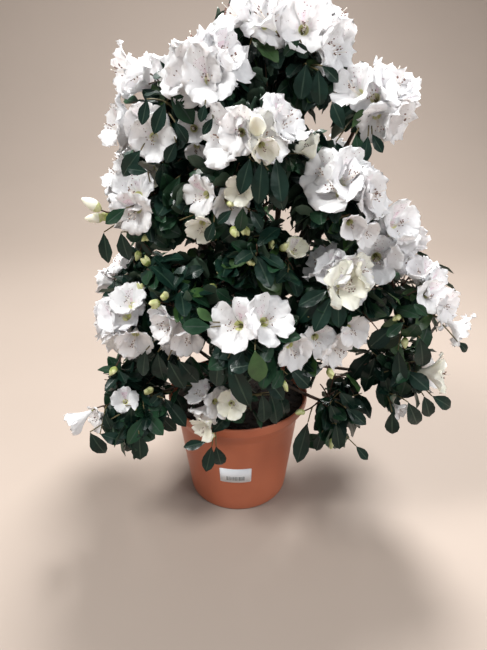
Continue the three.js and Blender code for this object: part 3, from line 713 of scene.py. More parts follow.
def lobe_grid(dice, openness, ruffle, radius, depth):
    """One lobe as a grid of points: x across it, y out from the flower's axis and z along it."""
    u = np.linspace(-1, 1, PETAL_COLUMNS)
    half = math.pi / LOBES
    split_radius = float(np.interp(SPLIT, PETAL_V, radius))
    longer = dice.uniform(*LENGTHS)
    broad = (LOBE_BREADTH + dice.uniform(*BREADTHS)) * (0.6 + 0.4 * openness)
    bend = dice.uniform(*BENDS) * openness
    twist = dice.uniform(*TWISTS)
    phase = dice.uniform(0, 2 * math.pi, 4)
    grid = np.zeros((len(PETAL_V), len(u), 3))
    for i, v in enumerate(PETAL_V):
        r, z = radius[i] * (1 + longer * v), depth[i]
        if v <= SPLIT:
            side, out, up = r * np.sin(u * half), r * np.cos(u * half), np.full(len(u), z)
        else:
            t = (v - SPLIT) / (1 - SPLIT)
            start = split_radius * math.sin(half)
            if t < SHOULDER:
                wide = start + (broad - start) * math.sin(t / SHOULDER * math.pi / 2)
            else:
                wide = broad * math.sqrt(1 - 0.93 * ((t - SHOULDER) / (1 - SHOULDER)) ** 2)
            side = u * wide
            around = np.arctan2(u * wide, (t - 0.4) * 15.0)
            edge = np.maximum(np.abs(u) ** 2.2 * min(1.0, 2.4 * t), t**4)
            frill = sum(high * np.sin(n * around + p) for (n, high), p in zip(FRILLS, phase))
            out = r - split_radius * (1 - np.cos(u * half)) * (1 - t) - 1.8 * t * u**2
            out = out + ruffle * edge * 0.6 * np.sin(SIDE_WAVES * around + phase[2])
            up = z + bend * t * t + (1.4 + twist * t) * u * t - 1.2 * t * u**2 + ruffle * edge * frill
            up = up - FURROW_DEPTH * np.exp(-((u / FURROW_WIDTH) ** 2)) * math.sin(math.pi * t)
            up = up + 0.7 * ruffle * t * np.sin(5 * u + phase[3])
        grid[i] = np.column_stack([side, out, up])
    return grid


def petal_kinds(lobe, cells, blush):
    """The look of each cell of a lobe: a blush with a paler rim on the upper lobe and its sides."""
    columns = PETAL_COLUMNS - 1
    row, column = np.divmod(np.arange(cells) // 2, columns)
    off = abs(column - (columns - 1) / 2) / (columns / 2)
    kinds = np.full(cells, WHITE)
    if lobe == 0:
        kinds[(row <= 3 + blush) & (off < 0.4 + 0.1 * blush)] = TINT
        kinds[(row <= 1 + blush) & (off < 0.12 + 0.1 * blush)] = BLUSH
    elif lobe in (1, 4):
        kinds[(row == 2) & (off < 0.5)] = TINT
    kinds[row < THROAT_ROWS] = THROAT
    return kinds


def specks(dice, grid, count, broad):
    """Small raised specks on the throat of a lobe."""
    normals = grid_normals(grid)
    for _ in range(count):
        i, k = dice.uniform(*SPECK_ROWS), (PETAL_COLUMNS - 1) / 2 + dice.uniform(-broad, broad)
        i0, k0 = int(i), int(k)
        at = grid[i0, k0] + (grid[i0 + 1, k0] - grid[i0, k0]) * (i - i0)
        at = at + (grid[i0, k0 + 1] - grid[i0, k0]) * (k - k0)
        normal = normals[i0, k0]
        size = dice.uniform(*SPECK_SIZES)
        a, b = square_to(normal)
        angles = turns(SPECK_SIDES)[:, None]
        rim = at + normal * 0.12 + size * (np.cos(angles) * a + np.sin(angles) * b)
        sides = [[p, (p + 1) % SPECK_SIDES] for p in range(SPECK_SIDES)]
        fan = [[p, q, SPECK_SIDES] for p, q in sides] + [[q, p, SPECK_SIDES + 1] for p, q in sides]
        yield np.vstack([rim, at + normal * 0.3, at - normal * 0.2]), np.array(fan)


def flower_form(seed, openness, ruffle, blush=2):
    """A flower along z with its upper lobe towards +y: points, triangles and material numbers."""
    dice = np.random.default_rng(seed)
    radius = SHUT_R + (OPEN_R - SHUT_R) * openness
    depth = SHUT_Z + (OPEN_Z - SHUT_Z) * openness
    pieces = []
    for lobe in range(LOBES):
        grid = lobe_grid(dice, openness, ruffle, radius, depth)
        turn = 2 * math.pi / LOBES * lobe + math.radians(dice.uniform(*TURNS))
        c, s = math.cos(turn), math.sin(turn)
        grid = grid @ np.array([[c, s, 0], [-s, c, 0], [0, 0, 1]])
        sheet, tris = shell(grid, PETAL_THICK)
        kinds = petal_kinds(lobe, len(tris) // 2, blush)
        pieces.append((sheet, tris, np.concatenate([kinds, np.where(kinds == BLUSH, TINT, WHITE)])))
        pieces += [(*mark, SPECK) for mark in specks(dice, grid, *SPECKS.get(lobe, (0, 0)))]
    # The stamens and the longer style lean towards the lower lobes and curve up.
    for k in range(STAMENS + 1):
        style = k == STAMENS
        a = dice.uniform(0, 2 * math.pi)
        reach = (STYLE_REACH if style else dice.uniform(*STAMEN_REACH)) * (0.8 + 0.2 * openness)
        off = 0.0 if style else dice.uniform(*STAMEN_STRAY) * openness
        tip = np.array([off * math.cos(a), off * math.sin(a) - 1.0, reach])
        line = bezier([[0, 0, 10], [0.5 * math.cos(a), -3.0, reach * 0.6], tip], 4)
        pieces.append((*tube(line, np.full(5, STYLE_RADIUS if style else STAMEN_RADIUS), 3), FILAMENT))
        ends = line[-1] + unit(line[-1] - line[-2]) * np.linspace(-0.4, 0.8 if style else 1.7, 4)[:, None]
        pieces.append((*tube(ends, ANTHER_RADII, 4), FILAMENT if style else ANTHER))
    heights, radii = np.array(STALK).T
    pieces.append((*tube(heights[:, None] * UP, radii, STALK_SIDES), GREEN))
    return joined(pieces)


def bud_form(length, girth, green):
    """A closed bud with a twisted fold for each lobe: pale above its green scales."""
    share = np.linspace(0, 1, BUD_ROWS)
    radii = girth * np.sin(math.pi * (0.07 + 0.90 * share**0.8)) ** 0.8

    def folds(i, angles):
        return 1 + FOLD_DEPTH * share[i] * np.sin(LOBES * angles + FOLD_TWIST * share[i])

    points, faces = tube(share[:, None] * length * UP, radii, 2 * LOBES, folds)
    return points, faces, np.where(points[faces][:, :, 2].mean(1) < length * green, 1, 0)


# Ten open flowers and four that are half open, each with a seed of its own.
OPEN_FORMS = [flower_form(100 + k, 1.0 - 0.09 * (k % 3), 1.1 + 0.45 * (k % 2), k % 4) for k in range(10)]
HALF_FORMS = [flower_form(200 + k, 0.32 + 0.14 * k, 0.8) for k in range(4)]
SWELLING_BUDS = [bud_form(23, 6.4, 0.28), bud_form(20, 6.0, 0.34)]
GREEN_BUDS = [bud_form(12, 3.7, 0.45), bud_form(14, 4.0, 0.38), bud_form(10, 3.3, 0.6)]

WHITE_LOOKS = [petal, petal_tint, petal_blush, petal_throat, speck_red, filament, anther_dark, calyx_green]
flowers = {part: Pile("flowers_" + part, "petals", WHITE_LOOKS) for part in PARTS}
flowers_cream = Pile("flowers_cream", "petals", [petal_cream, petal_tint, petal_tint] + WHITE_LOOKS[3:])
swelling = Pile("buds_swelling", "petals", [petal_cream, bud_pale])
green_buds = Pile("buds_green", "petals", [bud_pale, bud_green])

# How near to straight up a flower faces when its upper lobe points to the back in place of up.
STEEPEST = 0.15


def add_form(pile, node, form, root, facing, spin, size):
    """A flower or bud on root along facing, with its upper lobe turned spin degrees from up."""
    rise = UP - facing * np.dot(UP, facing)
    if np.linalg.norm(rise) < STEEPEST:
        rise = np.array([0.0, 1.0, 0.0]) - facing * facing[1]
    rise = unit(rise)
    level = np.cross(rise, facing)
    a = math.radians(spin)
    x = level * math.cos(a) + rise * math.sin(a)
    y = rise * math.cos(a) - level * math.sin(a)
    points, faces, looks = form
    pile.add(node, root + (points * size) @ np.vstack([x, y, facing]), faces, looks)


# Flowers and buds that the photograph shows, by the mass that carries them, as [place across and
# down in the picture, how far out as a share of the spread, kind, size], and where a flower doesn't
# face straight out, the bearing and lift that it faces.
BLOOM_SEEN = {
    "crest_left": [[262, 12, 0.95, "open", 0.85, 215, 40]],
    "crest_right": [[306, 24, 1, "open", 1, 272, 12], [331, 42, 0.9, "open", 0.8, 330, -10],
        [300, 0, 0.9, "open", 0.9, 280, 60], [338, 14, 0.85, "open", 0.8, 340, 35]],
    "upper_left": [[208, 76, 0.95, "open", 0.95, 268, 10], [176, 72, 0.8, "open", 0.85, 225, 25],
        [224, 52, 0.82, "open", 0.75, 290, 30]],
    "shoulder_left": [[122, 70, 1, "open", 0.9, 200, 5], [113, 126, 1, "open", 0.85, 212, 20],
        [152, 138, 0.95, "open", 0.85, 272, 0], [193, 128, 0.95, "half", 0.8, 270, 5],
        [196, 150, 0.98, "half", 0.65, 268, -25], [194, 163, 0.9, "bud", 1],
        [151, 172, 0.95, "cream", 0.75, 240, -20], [160, 156, 0.9, "bud", 1]],
    "left_mid": [[116, 172, 0.97, "open", 0.8, 205, 40], [132, 214, 0.98, "open", 0.85, 255, -10],
        [91, 204, 1.3, "swell", 1, 188, 35], [94, 218, 1.25, "swell", 0.9, 200, 0],
        [104, 218, 1.05, "bud", 1.2], [148, 238, 0.95, "bud", 1], [138, 256, 1.1, "bud", 1]],
    "centre_upper": [[240, 132, 1, "open", 0.75, 266, 5], [257, 124, 1.12, "swell", 1.2, 262, 30],
        [264, 149, 1, "cream", 0.65, 285, -20], [284, 124, 0.9, "open", 0.7, 320, 20]],
    "centre_mid": [[201, 228, 0.95, "cream", 0.65, 262, -25], [240, 190, 0.97, "cream", 0.6, 268, 0],
        [234, 232, 1, "bud", 1.1], [247, 232, 1, "bud", 1.1], [230, 204, 0.95, "bud", 0.9]],
    "centre_low": [[272, 243, 0.95, "bud", 1.1], [284, 247, 0.95, "bud", 1.1],
        [294, 250, 0.9, "cream", 0.7, 290, 40], [220, 272, 0.95, "bud", 1], [211, 287, 1.1, "bud", 1],
        [250, 262, 0.95, "bud", 0.9]],
    "right_inner": [[352, 176, 0.95, "open", 0.95, 292, 25], [372, 196, 0.9, "open", 0.85, 320, 5],
        [322, 172, 0.85, "open", 0.85, 235, 30], [352, 226, 0.95, "half", 0.7, 275, -10],
        [366, 233, 0.9, "half", 0.7, 300, -15], [309, 148, 1.2, "cream", 0.7]],
    "right_upper": [[353, 86, 0.95, "open", 0.9, 225, 30], [396, 84, 0.95, "open", 0.95, 300, 45],
        [398, 118, 0.95, "open", 0.95, 320, -25], [378, 124, 0.95, "open", 0.8, 268, -35]],
    "right_mid": [[402, 222, 0.95, "open", 0.95, 292, 20], [378, 260, 0.98, "open", 1, 262, 5],
        [398, 252, 0.9, "open", 0.8, 300, -20]],
    "right_front": [[346, 286, 0.97, "creamopen", 0.9, 306, 22], [334, 268, 0.85, "open", 0.8, 240, 45],
        [364, 270, 0.85, "creamopen", 0.7, 330, 20], [318, 305, 0.9, "bud", 1]],
    "right_low": [[462, 330, 1.15, "open", 0.75, 330, -20], [432, 296, 0.9, "open", 0.75, 280, 15],
        [420, 272, 0.85, "half", 0.85, 215, 55], [447, 306, 0.95, "open", 0.75, 300, 0],
        [398, 318, 0.95, "bud", 1], [405, 342, 0.9, "bud", 1]],
    "front_right": [[353, 331, 1, "open", 0.72, 290, 5], [330, 374, 1.1, "bud", 1]],
    "front_centre": [[294, 352, 0.95, "open", 0.8, 290, -10], [284, 385, 1.2, "bud", 1]],
    "left_low": [[104, 322, 0.95, "open", 0.9, 222, 10], [128, 300, 0.9, "open", 0.85, 255, 50],
        [134, 342, 0.95, "open", 0.85, 272, -20], [142, 286, 1, "bud", 1], [112, 372, 1.3, "bud", 1.2]],
    "left_inner": [[164, 324, 0.9, "half", 0.85, 222, 10], [187, 339, 0.95, "half", 0.85, 275, -20],
        [174, 346, 0.9, "half", 0.75, 250, -40], [155, 303, 1, "bud", 1.1], [163, 297, 1, "bud", 1.1],
        [145, 262, 1.15, "bud", 1]],
    "left_bottom": [[78, 420, 1.1, "half", 0.85, 205, -25], [150, 390, 1, "bud", 1.2],
        [138, 412, 0.9, "bud", 0.8]],
    "pot_front": [[210, 438, 1, "bud", 1.2, 262, 10], [232, 404, 0.85, "cream", 0.75, 275, 30],
        [204, 428, 1, "cream", 0.7, 235, -10]],
    "right_bottom": [[400, 410, 1.05, "half", 0.5, 300, -10], [438, 373, 1.15, "cream", 1, 335, 10]],
    "right_skirt": [[331, 443, 0.95, "bud", 1], [300, 412, 0.95, "bud", 1]],
}

# The same for what the photograph doesn't show, with the bearing and lift from the mass's centre in
# the picture's stead.
BLOOM_BEHIND = {
    "back_top": [[60, 20, 0.9, "open", 0.9], [140, 16, 0.88, "open", 0.85], [95, -20, 0.9, "half", 0.8]],
    "back_left": [[120, 40, 0.9, "open", 0.9], [182, 30, 0.9, "open", 0.85], [140, -20, 0.95, "bud", 1]],
    "back_right": [[10, 30, 0.9, "open", 0.9], [78, 46, 0.88, "open", 0.85], [40, -22, 0.95, "half", 0.8]],
    "back_mid": [[64, 30, 0.9, "open", 0.9], [124, 34, 0.9, "open", 0.85], [95, -24, 0.95, "bud", 1]],
    "back_low_left": [[130, 34, 0.9, "open", 0.9], [186, 10, 0.9, "half", 0.85],
        [170, -24, 0.95, "bud", 1]],
    "back_low_right": [[0, 30, 0.9, "open", 0.9], [60, 34, 0.9, "open", 0.85], [20, -24, 0.95, "bud", 1]],
    "back_low": [[62, 26, 0.9, "open", 0.85], [120, 30, 0.9, "half", 0.9], [80, -20, 0.95, "bud", 1]],
}

# Single leaves that stand out in the photograph, as [the root's place across and down, the tip's,
# how far out as a share of the spread, tint]. The share is 1 and the tint dark unless a row has them.
LEAVES_SEEN = {
    "crest_right": [[322, 66, 340, 78], [318, 70, 322, 100], [300, 40, 284, 52, 1, MID],
        [292, 42, 310, 54], [306, 64, 302, 94]],
    "upper_left": [[205, 104, 200, 119, 1.1], [213, 118, 202, 132, 1.12], [222, 96, 216, 116]],
    "shoulder_left": [[147, 99, 141, 121, 1.12], [165, 102, 152, 129, 1.12],
        [171, 90, 192, 118, 1.12, MID], [175, 122, 187, 139, 1.12], [141, 150, 119, 172, 1.1],
        [176, 142, 164, 160, 1.1]],
    "left_mid": [[104, 232, 107, 262, 1.2], [121, 232, 127, 260], [126, 208, 106, 222, 1.1, MID],
        [163, 162, 159, 186, 1.05], [180, 176, 160, 203, 1.05, MID], [148, 172, 127, 168, 1.1]],
    "centre_upper": [[262, 160, 258, 200], [276, 158, 280, 198], [268, 170, 286, 206],
        [250, 158, 240, 190]],
    "centre_mid": [[243, 207, 239, 231, 1, MID], [232, 210, 216, 222], [250, 210, 262, 228],
        [214, 222, 206, 240, 0.95]],
    "right_upper": [[344, 130, 332, 108, 1.1], [352, 128, 362, 112, 1, YOUNG],
        [356, 134, 362, 156, 1.1, MID], [336, 142, 348, 160, 1.1], [368, 136, 366, 160, 1.1],
        [372, 134, 384, 150]],
    "right_front": [[328, 290, 300, 304], [332, 296, 318, 330], [338, 294, 342, 326],
        [322, 292, 298, 322]],
    "left_inner": [[146, 350, 142, 378], [158, 352, 162, 388, 1.05], [168, 360, 186, 392, 1.05],
        [178, 360, 200, 384], [190, 356, 184, 380]],
    "left_bottom": [[90, 432, 104, 460, 1.15], [139, 434, 137, 464, 1.1], [100, 434, 124, 441, 1.1],
        [104, 414, 110, 432, 1.1], [131, 406, 128, 432], [160, 396, 156, 428, 1.1],
        [164, 398, 180, 428, 1.2], [172, 392, 184, 416, 1.2]],
    "front_centre": [[228, 358, 253, 410], [220, 358, 215, 391, 0.9], [255, 350, 260, 384, 1.12, YOUNG],
        [262, 372, 284, 400, 0.9], [213, 322, 200, 309, 1, YOUNG], [211, 327, 184, 325, 1.05, MID],
        [290, 368, 310, 388, 0.9]],
    "pot_front": [[212, 446, 206, 472, 1.1], [216, 446, 222, 472, 1.1], [206, 442, 184, 446, 1.1],
        [262, 394, 264, 428, 1.25], [270, 392, 278, 430, 1.3], [278, 394, 290, 424, 1.3]],
    "right_low": [[420, 338, 430, 372], [398, 350, 406, 384], [404, 322, 388, 336, 1, MID],
        [428, 316, 412, 304, 1, MID], [458, 342, 470, 352, 1.25]],
    "right_bottom": [[408, 402, 424, 430, 1.1], [424, 396, 434, 420], [432, 396, 455, 408, 1.1],
        [384, 372, 396, 404, 0.9], [392, 412, 396, 438, 1.1], [372, 352, 352, 384, 0.95],
        [376, 356, 372, 394, 0.95]],
    "right_skirt": [[308, 422, 303, 464, 1.05], [336, 424, 342, 452], [322, 432, 318, 452],
        [356, 446, 367, 460, 1.1], [340, 392, 356, 410], [346, 408, 366, 424], [330, 404, 344, 428]],
}

# How far before its root a kind of bloom has its middle.
MIDDLE = {"open": 28, "creamopen": 28, "half": 26, "cream": 26, "swell": 12, "bud": 6}

# How full of leaves a mass is, where it isn't quite full.
FULLNESS = {
    "right_upper": 0.1, "crest_right": 0.85, "shoulder_left": 0.7, "left_mid": 0.9, "right_mid": 0.6,
    "right_low": 0.45, "right_bottom": 0.5, "left_bottom": 0.9, "right_skirt": 0.5, "pot_front": 0.45,
}

# The side of a mass that has twigs and no leaves, as [bearing, lift], and from what share of the
# spread it is bare.
BARE_SIDE = {
    "right_skirt": [170, 35, 0.1], "left_bottom": [185, 5, 0.35], "right_mid": [345, 50, 0.45],
    "right_inner": [345, 35, 0.5],
}


def leader_root(index):
    """Where a mass's leader leaves the limb that carries it, and in which direction."""
    limb = MASSES[names[index]][4]
    if limb != "trunk":
        return along(coarse[limb][0], 1)
    point, _ = along(coarse["trunk"][0], TRUNK_SIDE_SHARE)
    direction = unit((centres[index] - point) * LEVEL)
    return point + direction * radius_at(coarse["trunk"], TRUNK_SIDE_SHARE), direction


def crown_tips(index, inward):
    """The source's tips: trusses of bloom first, then leafy tips well apart."""
    tips = [
        {"way": heading(bearing, lift), "flowers": n, "turn": turn, "size": size}
        for bearing, lift, n, turn, size in MASSES[names[index]][5]
    ]
    wanted = TIPS if tips else TIPS_WITH_NO_BLOOM
    for k in range(TIPS_TRIED):
        if len(tips) >= wanted:
            break
        way = spiral(k, TIPS_TRIED, chance(index, 1), TIP_LIFT_SHARE)
        if all(angle_between(way, other) > TIP_APART for other in [inward] + [tip["way"] for tip in tips]):
            tips.append({"way": way, "flowers": 0})
    return tips


# A bloom's stalk: how far behind the bloom its twig should be, how much it counts if it isn't, how
# long the stalk's last stretch is at most, and in how many steps it bends.
BEHIND_BY = 6
BEHIND_WEIGHT = 3
LAST_STRETCH = 16.0
STALK_STEPS = 6
# How far a bloom turns about its axis, and how a bud's second, smaller one leans.
SPIN_RANGE = 56
BUD_TILT = 34
SECOND_BUD = 0.85
# How large a truss's flowers are at most, and how much smaller some are.
LARGEST_BLOOM = 1.05
SMALLER = 0.1
# The radii of wood at its root and tip, and how far a line bows upward, in how many steps.
TWIG_GIRTH, TWIG_BOW = (1.5, 1.05), (2.0, 5)
STALK_GIRTH = (1.1, 0.9)
SHOOT_GIRTH, SHOOT_BOW = (1.1, 0.8), (3.0, 4)
SIDE_GIRTH, SIDE_BOW = (0.85, 0.6), (1.5, 3)
LEAF_STALK_GIRTH, LEAF_STALK_BOW = (1.0, 0.7), (4.0, 5)
FINE_LEADER_STEPS = 8
LEADER_SIDES = 6


def stalk_from_behind(grown, end, way):
    """A curve to a bloom from the nearest twig, from one behind the bloom if there is one."""
    behind = [(twig["line"][2] - end) @ way + BEHIND_BY for twig in grown]
    far = [np.linalg.norm(twig["line"][2] - end) for twig in grown]
    near = min(range(len(grown)), key=lambda k: far[k] + BEHIND_WEIGHT * max(0.0, behind[k]))
    base = grown[near]["line"][2]
    return bezier([base, end - way * min(LAST_STRETCH, 0.6 * far[near] + 2), end], STALK_STEPS)


# Every flower of the crown, as [root, facing, size], so that nothing grows into or before one.
blooms = []


def add_bloom(index, root, facing, kind, size, keys):
    """A flower or bud of a kind. The place of a flower is kept free."""
    luck, spin = chance(*keys, 51), SPIN_RANGE * (chance(*keys, 52) - 0.5)
    if kind in ("bud", "swell"):
        forms, pile = (GREEN_BUDS, green_buds) if kind == "bud" else (SWELLING_BUDS, swelling)
    else:
        forms = HALF_FORMS if kind in ("half", "cream") else OPEN_FORMS
        pile = flowers_cream if kind.startswith("cream") else flowers[part_of_crown(index)]
        blooms.append([root, facing, size])
    add_form(pile, mass_nodes[index], picked(forms, luck), root, unit(facing), spin, size)


# The space of an open flower that nothing grows into: how far round its axis, how far before it,
# and how far behind its petals it starts.
BLOOM_ROUND = 28
BLOOM_BEFORE = 62
BLOOM_ROOM = 5.0


def blocked(points):
    """Whether any of the points lies in a flower or close before it."""
    roots, facings, sizes = bloom_rows
    gaps = (points[:, None] - roots[None]) / sizes[None, :, None]
    rise = (gaps * facings[None]).sum(2)
    across = np.sqrt(np.maximum((gaps**2).sum(2) - rise**2, 0))
    front = np.interp(across, OPEN_R, OPEN_Z) - BLOOM_ROOM
    return bool(((across < BLOOM_ROUND) & (rise > front) & (rise < BLOOM_BEFORE)).any())


def shoot(index, line, thick, thin, look=0, sides=5):
    """The wood of a twig or shoot, thick at its root and thin at its tip."""
    twigs.add(mass_nodes[index], *tube(line, np.linspace(thick, thin, len(line)), sides), look)


def mass_plan(index):
    """A mass's leader and twigs, with their blooms. It gives back the way to its limb, and the twigs."""
    centre, spread = centres[index], spreads[index]
    root, direction = leader_root(index)
    start = root + direction * GAP
    bend = start + direction * spread * LEADER_BEND
    leader = bezier([start, bend, centre], LEADER_STEPS)
    whole = bezier([start - direction * ROOT_DEPTH, bend, centre], FINE_LEADER_STEPS)
    shoot(index, whole, LEADER_RADIUS, LEADER_TIP_RADIUS, sides=LEADER_SIDES)
    inward = unit(start - centre)
    grown = []
    for number, tip in enumerate(crown_tips(index, inward)):
        way, count = tip["way"], tip["flowers"]
        end = centre + way * (spread - (FLOWER_DEPTH if count else LEAF_LENGTH / 2))
        base, _ = along(leader, TWIG_FROM + TWIG_RANGE * chance(index, number, 0, 2))
        line = curved(base, end, *TWIG_BOW)
        shoot(index, line, *TWIG_GIRTH)
        for k in range(count):
            facing = leaned(way, TRUSS_TILT[count - 1], tip["turn"] + 360 * k / count)
            size = tip["size"] * (LARGEST_BLOOM - SMALLER * chance(index, number, k, 4))
            add_bloom(index, end, facing, "open", size, (index, number, k))
        grown.append({"line": line, "way": way, "bloom": count > 0, "keys": (index, number)})
    wanted = []
    for across, down, share, *rest in BLOOM_SEEN.get(names[index], []):
        wanted.append([seen_at(across, down, index, share), *rest])
    for bearing, lift, share, *rest in BLOOM_BEHIND.get(names[index], []):
        wanted.append([centre + heading(bearing, lift) * spread * share, *rest])
    for number, (middle, kind, size, *own) in enumerate(wanted):
        way = heading(*own) if own else unit(middle - centre)
        end = middle - way * MIDDLE[kind] * size
        line = stalk_from_behind(grown, end, way)
        shoot(index, line, *STALK_GIRTH)
        add_bloom(index, end, way, kind, size, (index, number, 60))
        if kind == "bud":
            tilt = leaned(way, BUD_TILT, 360 * chance(index, number, 61))
            add_bloom(index, end, tilt, kind, SECOND_BUD * size, (index, number, 62))
        grown.append({"line": line, "way": way, "bloom": True, "keys": (index, number, 63)})
    return inward, grown


# Finer growth: how many more leafy tips a full mass has, how far apart, how far out as a share of
# the spread, where on their twig they start, and the side shoots of a twig, with their starts, tilts
# and lengths, and from what luck they are green. Each pair is the least and how much more it can be.
MORE_TRIED = 70
MORE_APART = 24
MORE_TIPS = 17
MORE_REACH = (0.42, 0.42)
MORE_START = (0.3, 0.4)
SIDE_SHOOTS = 2
SIDE_START = (0.3, 0.5)
SIDE_TILT = (42, 30)
SIDE_LENGTH = (16, 18)
GREEN_FROM = 0.6
# A whorl: its leaves where the mass is full, their lengths and their breadths as shares of them,
# how far they turn down, how their tilt varies, how far a leaf's line keeps from the pot, for its
# breadth, and how often it is turned on to find room, and how far.
WHORL = 7
LEAF_LENGTHS = (25, 19)
LEAF_BREADTHS = (0.9, 0.25)
DROOPS = (0.10, 0.55)
TILT_RANGE = 16
LEAF_ROOM = 7.0
LEAF_TRIES = 3
LEAF_TRY_TURN = 35
# From what luck a whorl is young or mid green, and one dark leaf of it mid green.
YOUNG_FROM = 0.95
MID_FROM = 0.66
ONE_MID_FROM = 0.85
# How far leaves lean from their shoot, at its tip and where the whorl starts: round a bloom, on a
# leafy shoot and on a side shoot.
ROUND_BLOOM = (80, 112)
ON_SHOOT = (36, 88)
ON_SIDE_SHOOT = (40, 86)
# Above this height leaves hardly stand out of their mass, and how much of the room they take then.
LOOSE_BELOW = 400
TIGHT_SHARE = 0.3
# How much a single leaf leans outward, and the length from which it is slimmer than the rest.
FORWARD = 0.12
SLIM_FROM = 32
# How far the foliage may stand out of the box of the solids.
PROUD = 7
box_low = np.array(cad_box[0]) / MM - PROUD
box_high = np.array(cad_box[1]) / MM + PROUD


def ranged(span, luck):
    """A value of a span of the least and how much more, by luck from 0 to 1."""
    return span[0] + span[1] * luck


def within(index, point, margin=1.0):
    """Whether a point is in its mass's own space, in the box and clear of the pot."""
    if np.any(point <= box_low) or np.any(point >= box_high):
        return False
    beyond = BEYOND * (1.0 if centres[index][2] < LOOSE_BELOW else TIGHT_SHARE)
    near = np.linalg.norm(point - centres[index]) < spreads[index] + beyond
    return near and depth_inside(point, index) > margin and clear_of_pot(point)


def bare(index, point):
    """Whether a point is on the bare side of its mass."""
    if names[index] not in BARE_SIDE:
        return False
    bearing, lift, share = BARE_SIDE[names[index]]
    return (point - centres[index]) @ heading(bearing, lift) > share * spreads[index]


def whorl(index, line, count, start_share, tilts, keys, scale=1.0):
    """Leaves round the last stretch of a shoot, each turned on by the golden angle. It tells
    whether any had room."""
    grown = False
    start, luck = 360 * chance(*keys, 6), chance(*keys, 10)
    shade = YOUNG if luck > YOUNG_FROM else MID if luck > MID_FROM else DARK
    for k in range(count):
        place = k / max(1, count - 1)
        root, axis = along(line, 1 - (1 - start_share) * place)
        tilt = tilts[0] + (tilts[1] - tilts[0]) * place + TILT_RANGE * (chance(*keys, k, 7) - 0.5)
        length = scale * ranged(LEAF_LENGTHS, chance(*keys, k, 8) ** 1.2)
        for attempt in range(LEAF_TRIES):
            direction = leaned(axis, tilt, start + GOLDEN_ANGLE * k + LEAF_TRY_TURN * attempt)
            direction = unit(direction - UP * ranged(DROOPS, chance(*keys, k, 9)))
            reach = root + direction * length * np.array([0.3, 0.6, 1.0])[:, None]
            if bare(index, reach[1]) or not within(index, reach[2], -2.0) or not clear_of_wood(reach):
                continue
            if not (clear_of_pot(reach[1], LEAF_ROOM) and clear_of_pot(reach[2], LEAF_ROOM)):
                continue
            face = unit(axis + UP * 0.9)
            if abs(np.dot(face, direction)) > 0.97:
                face = unit(face + square_to(direction)[0])
            width = length * ranged(LEAF_BREADTHS, chance(*keys, k, 12))
            tint = MID if shade == DARK and chance(*keys, k, 13) > ONE_MID_FROM else shade
            if add_leaf(index, root, direction, face, length, width, chance(*keys, k, 11), tint):
                grown = True
                break
    return grown


def leafy_shoot(index, base, end, bow, girth, count, start_share, tilts, keys, scale=1.0, look=0):
    """A shoot with leaves, unless a flower is in its way or no leaf has room. It gives its line."""
    line = curved(base, end, *bow)
    if blocked(line[1:]) or not whorl(index, line, count, start_share, tilts, keys, scale):
        return None
    shoot(index, line, *girth, look)
    return line


def leafy(index, inward, grown):
    """Leaves on a mass's twigs, and finer shoots with leaves between them."""
    centre, spread = centres[index], spreads[index]
    full = FULLNESS.get(names[index], 1.0)
    count = max(3, round(WHORL * (0.3 + 0.7 * full)))
    for twig in grown:
        keys = (*twig["keys"], 20)
        if twig["bloom"]:
            whorl(index, twig["line"], count - 1, 0.7, ROUND_BLOOM, keys)
        else:
            whorl(index, twig["line"], count, 0.5, ON_SHOOT, keys)
    ways = [inward] + [twig["way"] for twig in grown if not twig["bloom"]]
    more = 0
    for k in range(MORE_TRIED):
        if more >= round(MORE_TIPS * full):
            break
        way = spiral(k, MORE_TRIED, chance(index, 31))
        end = centre + way * spread * ranged(MORE_REACH, chance(index, k, 32))
        if min(angle_between(way, other) for other in ways) < MORE_APART or not within(index, end, 3.0):
            continue
        near = min(grown, key=lambda twig: np.linalg.norm(twig["line"][2] - end))
        base, _ = along(near["line"], ranged(MORE_START, chance(index, k, 33)))
        keys = (index, k, 34)
        line = leafy_shoot(index, base, end, SHOOT_BOW, SHOOT_GIRTH, count, 0.45, ON_SHOOT, keys)
        if line is not None:
            ways.append(way)
            grown.append({"line": line, "way": way, "bloom": False, "keys": keys})
            more += 1
    for g, twig in enumerate(grown):
        for s in range(SIDE_SHOOTS):
            if chance(index, g, s, 47) > full:
                continue
            base, axis = along(twig["line"], ranged(SIDE_START, chance(index, g, s, 41)))
            tilt = ranged(SIDE_TILT, chance(index, g, s, 42))
            direction = leaned(axis, tilt, 360 * chance(index, g, s, 43))
            end = base + direction * ranged(SIDE_LENGTH, chance(index, g, s, 44))
            look = 1 if chance(index, g, s, 45) > GREEN_FROM else 0
            if within(index, end, 2.0) and clear_of_wood(end[None], 2.0):
                leafy_shoot(index, base, end, SIDE_BOW, SIDE_GIRTH, count - 2, 0.35, ON_SIDE_SHOOT,
                            (index, g, s, 46), 0.92, look)


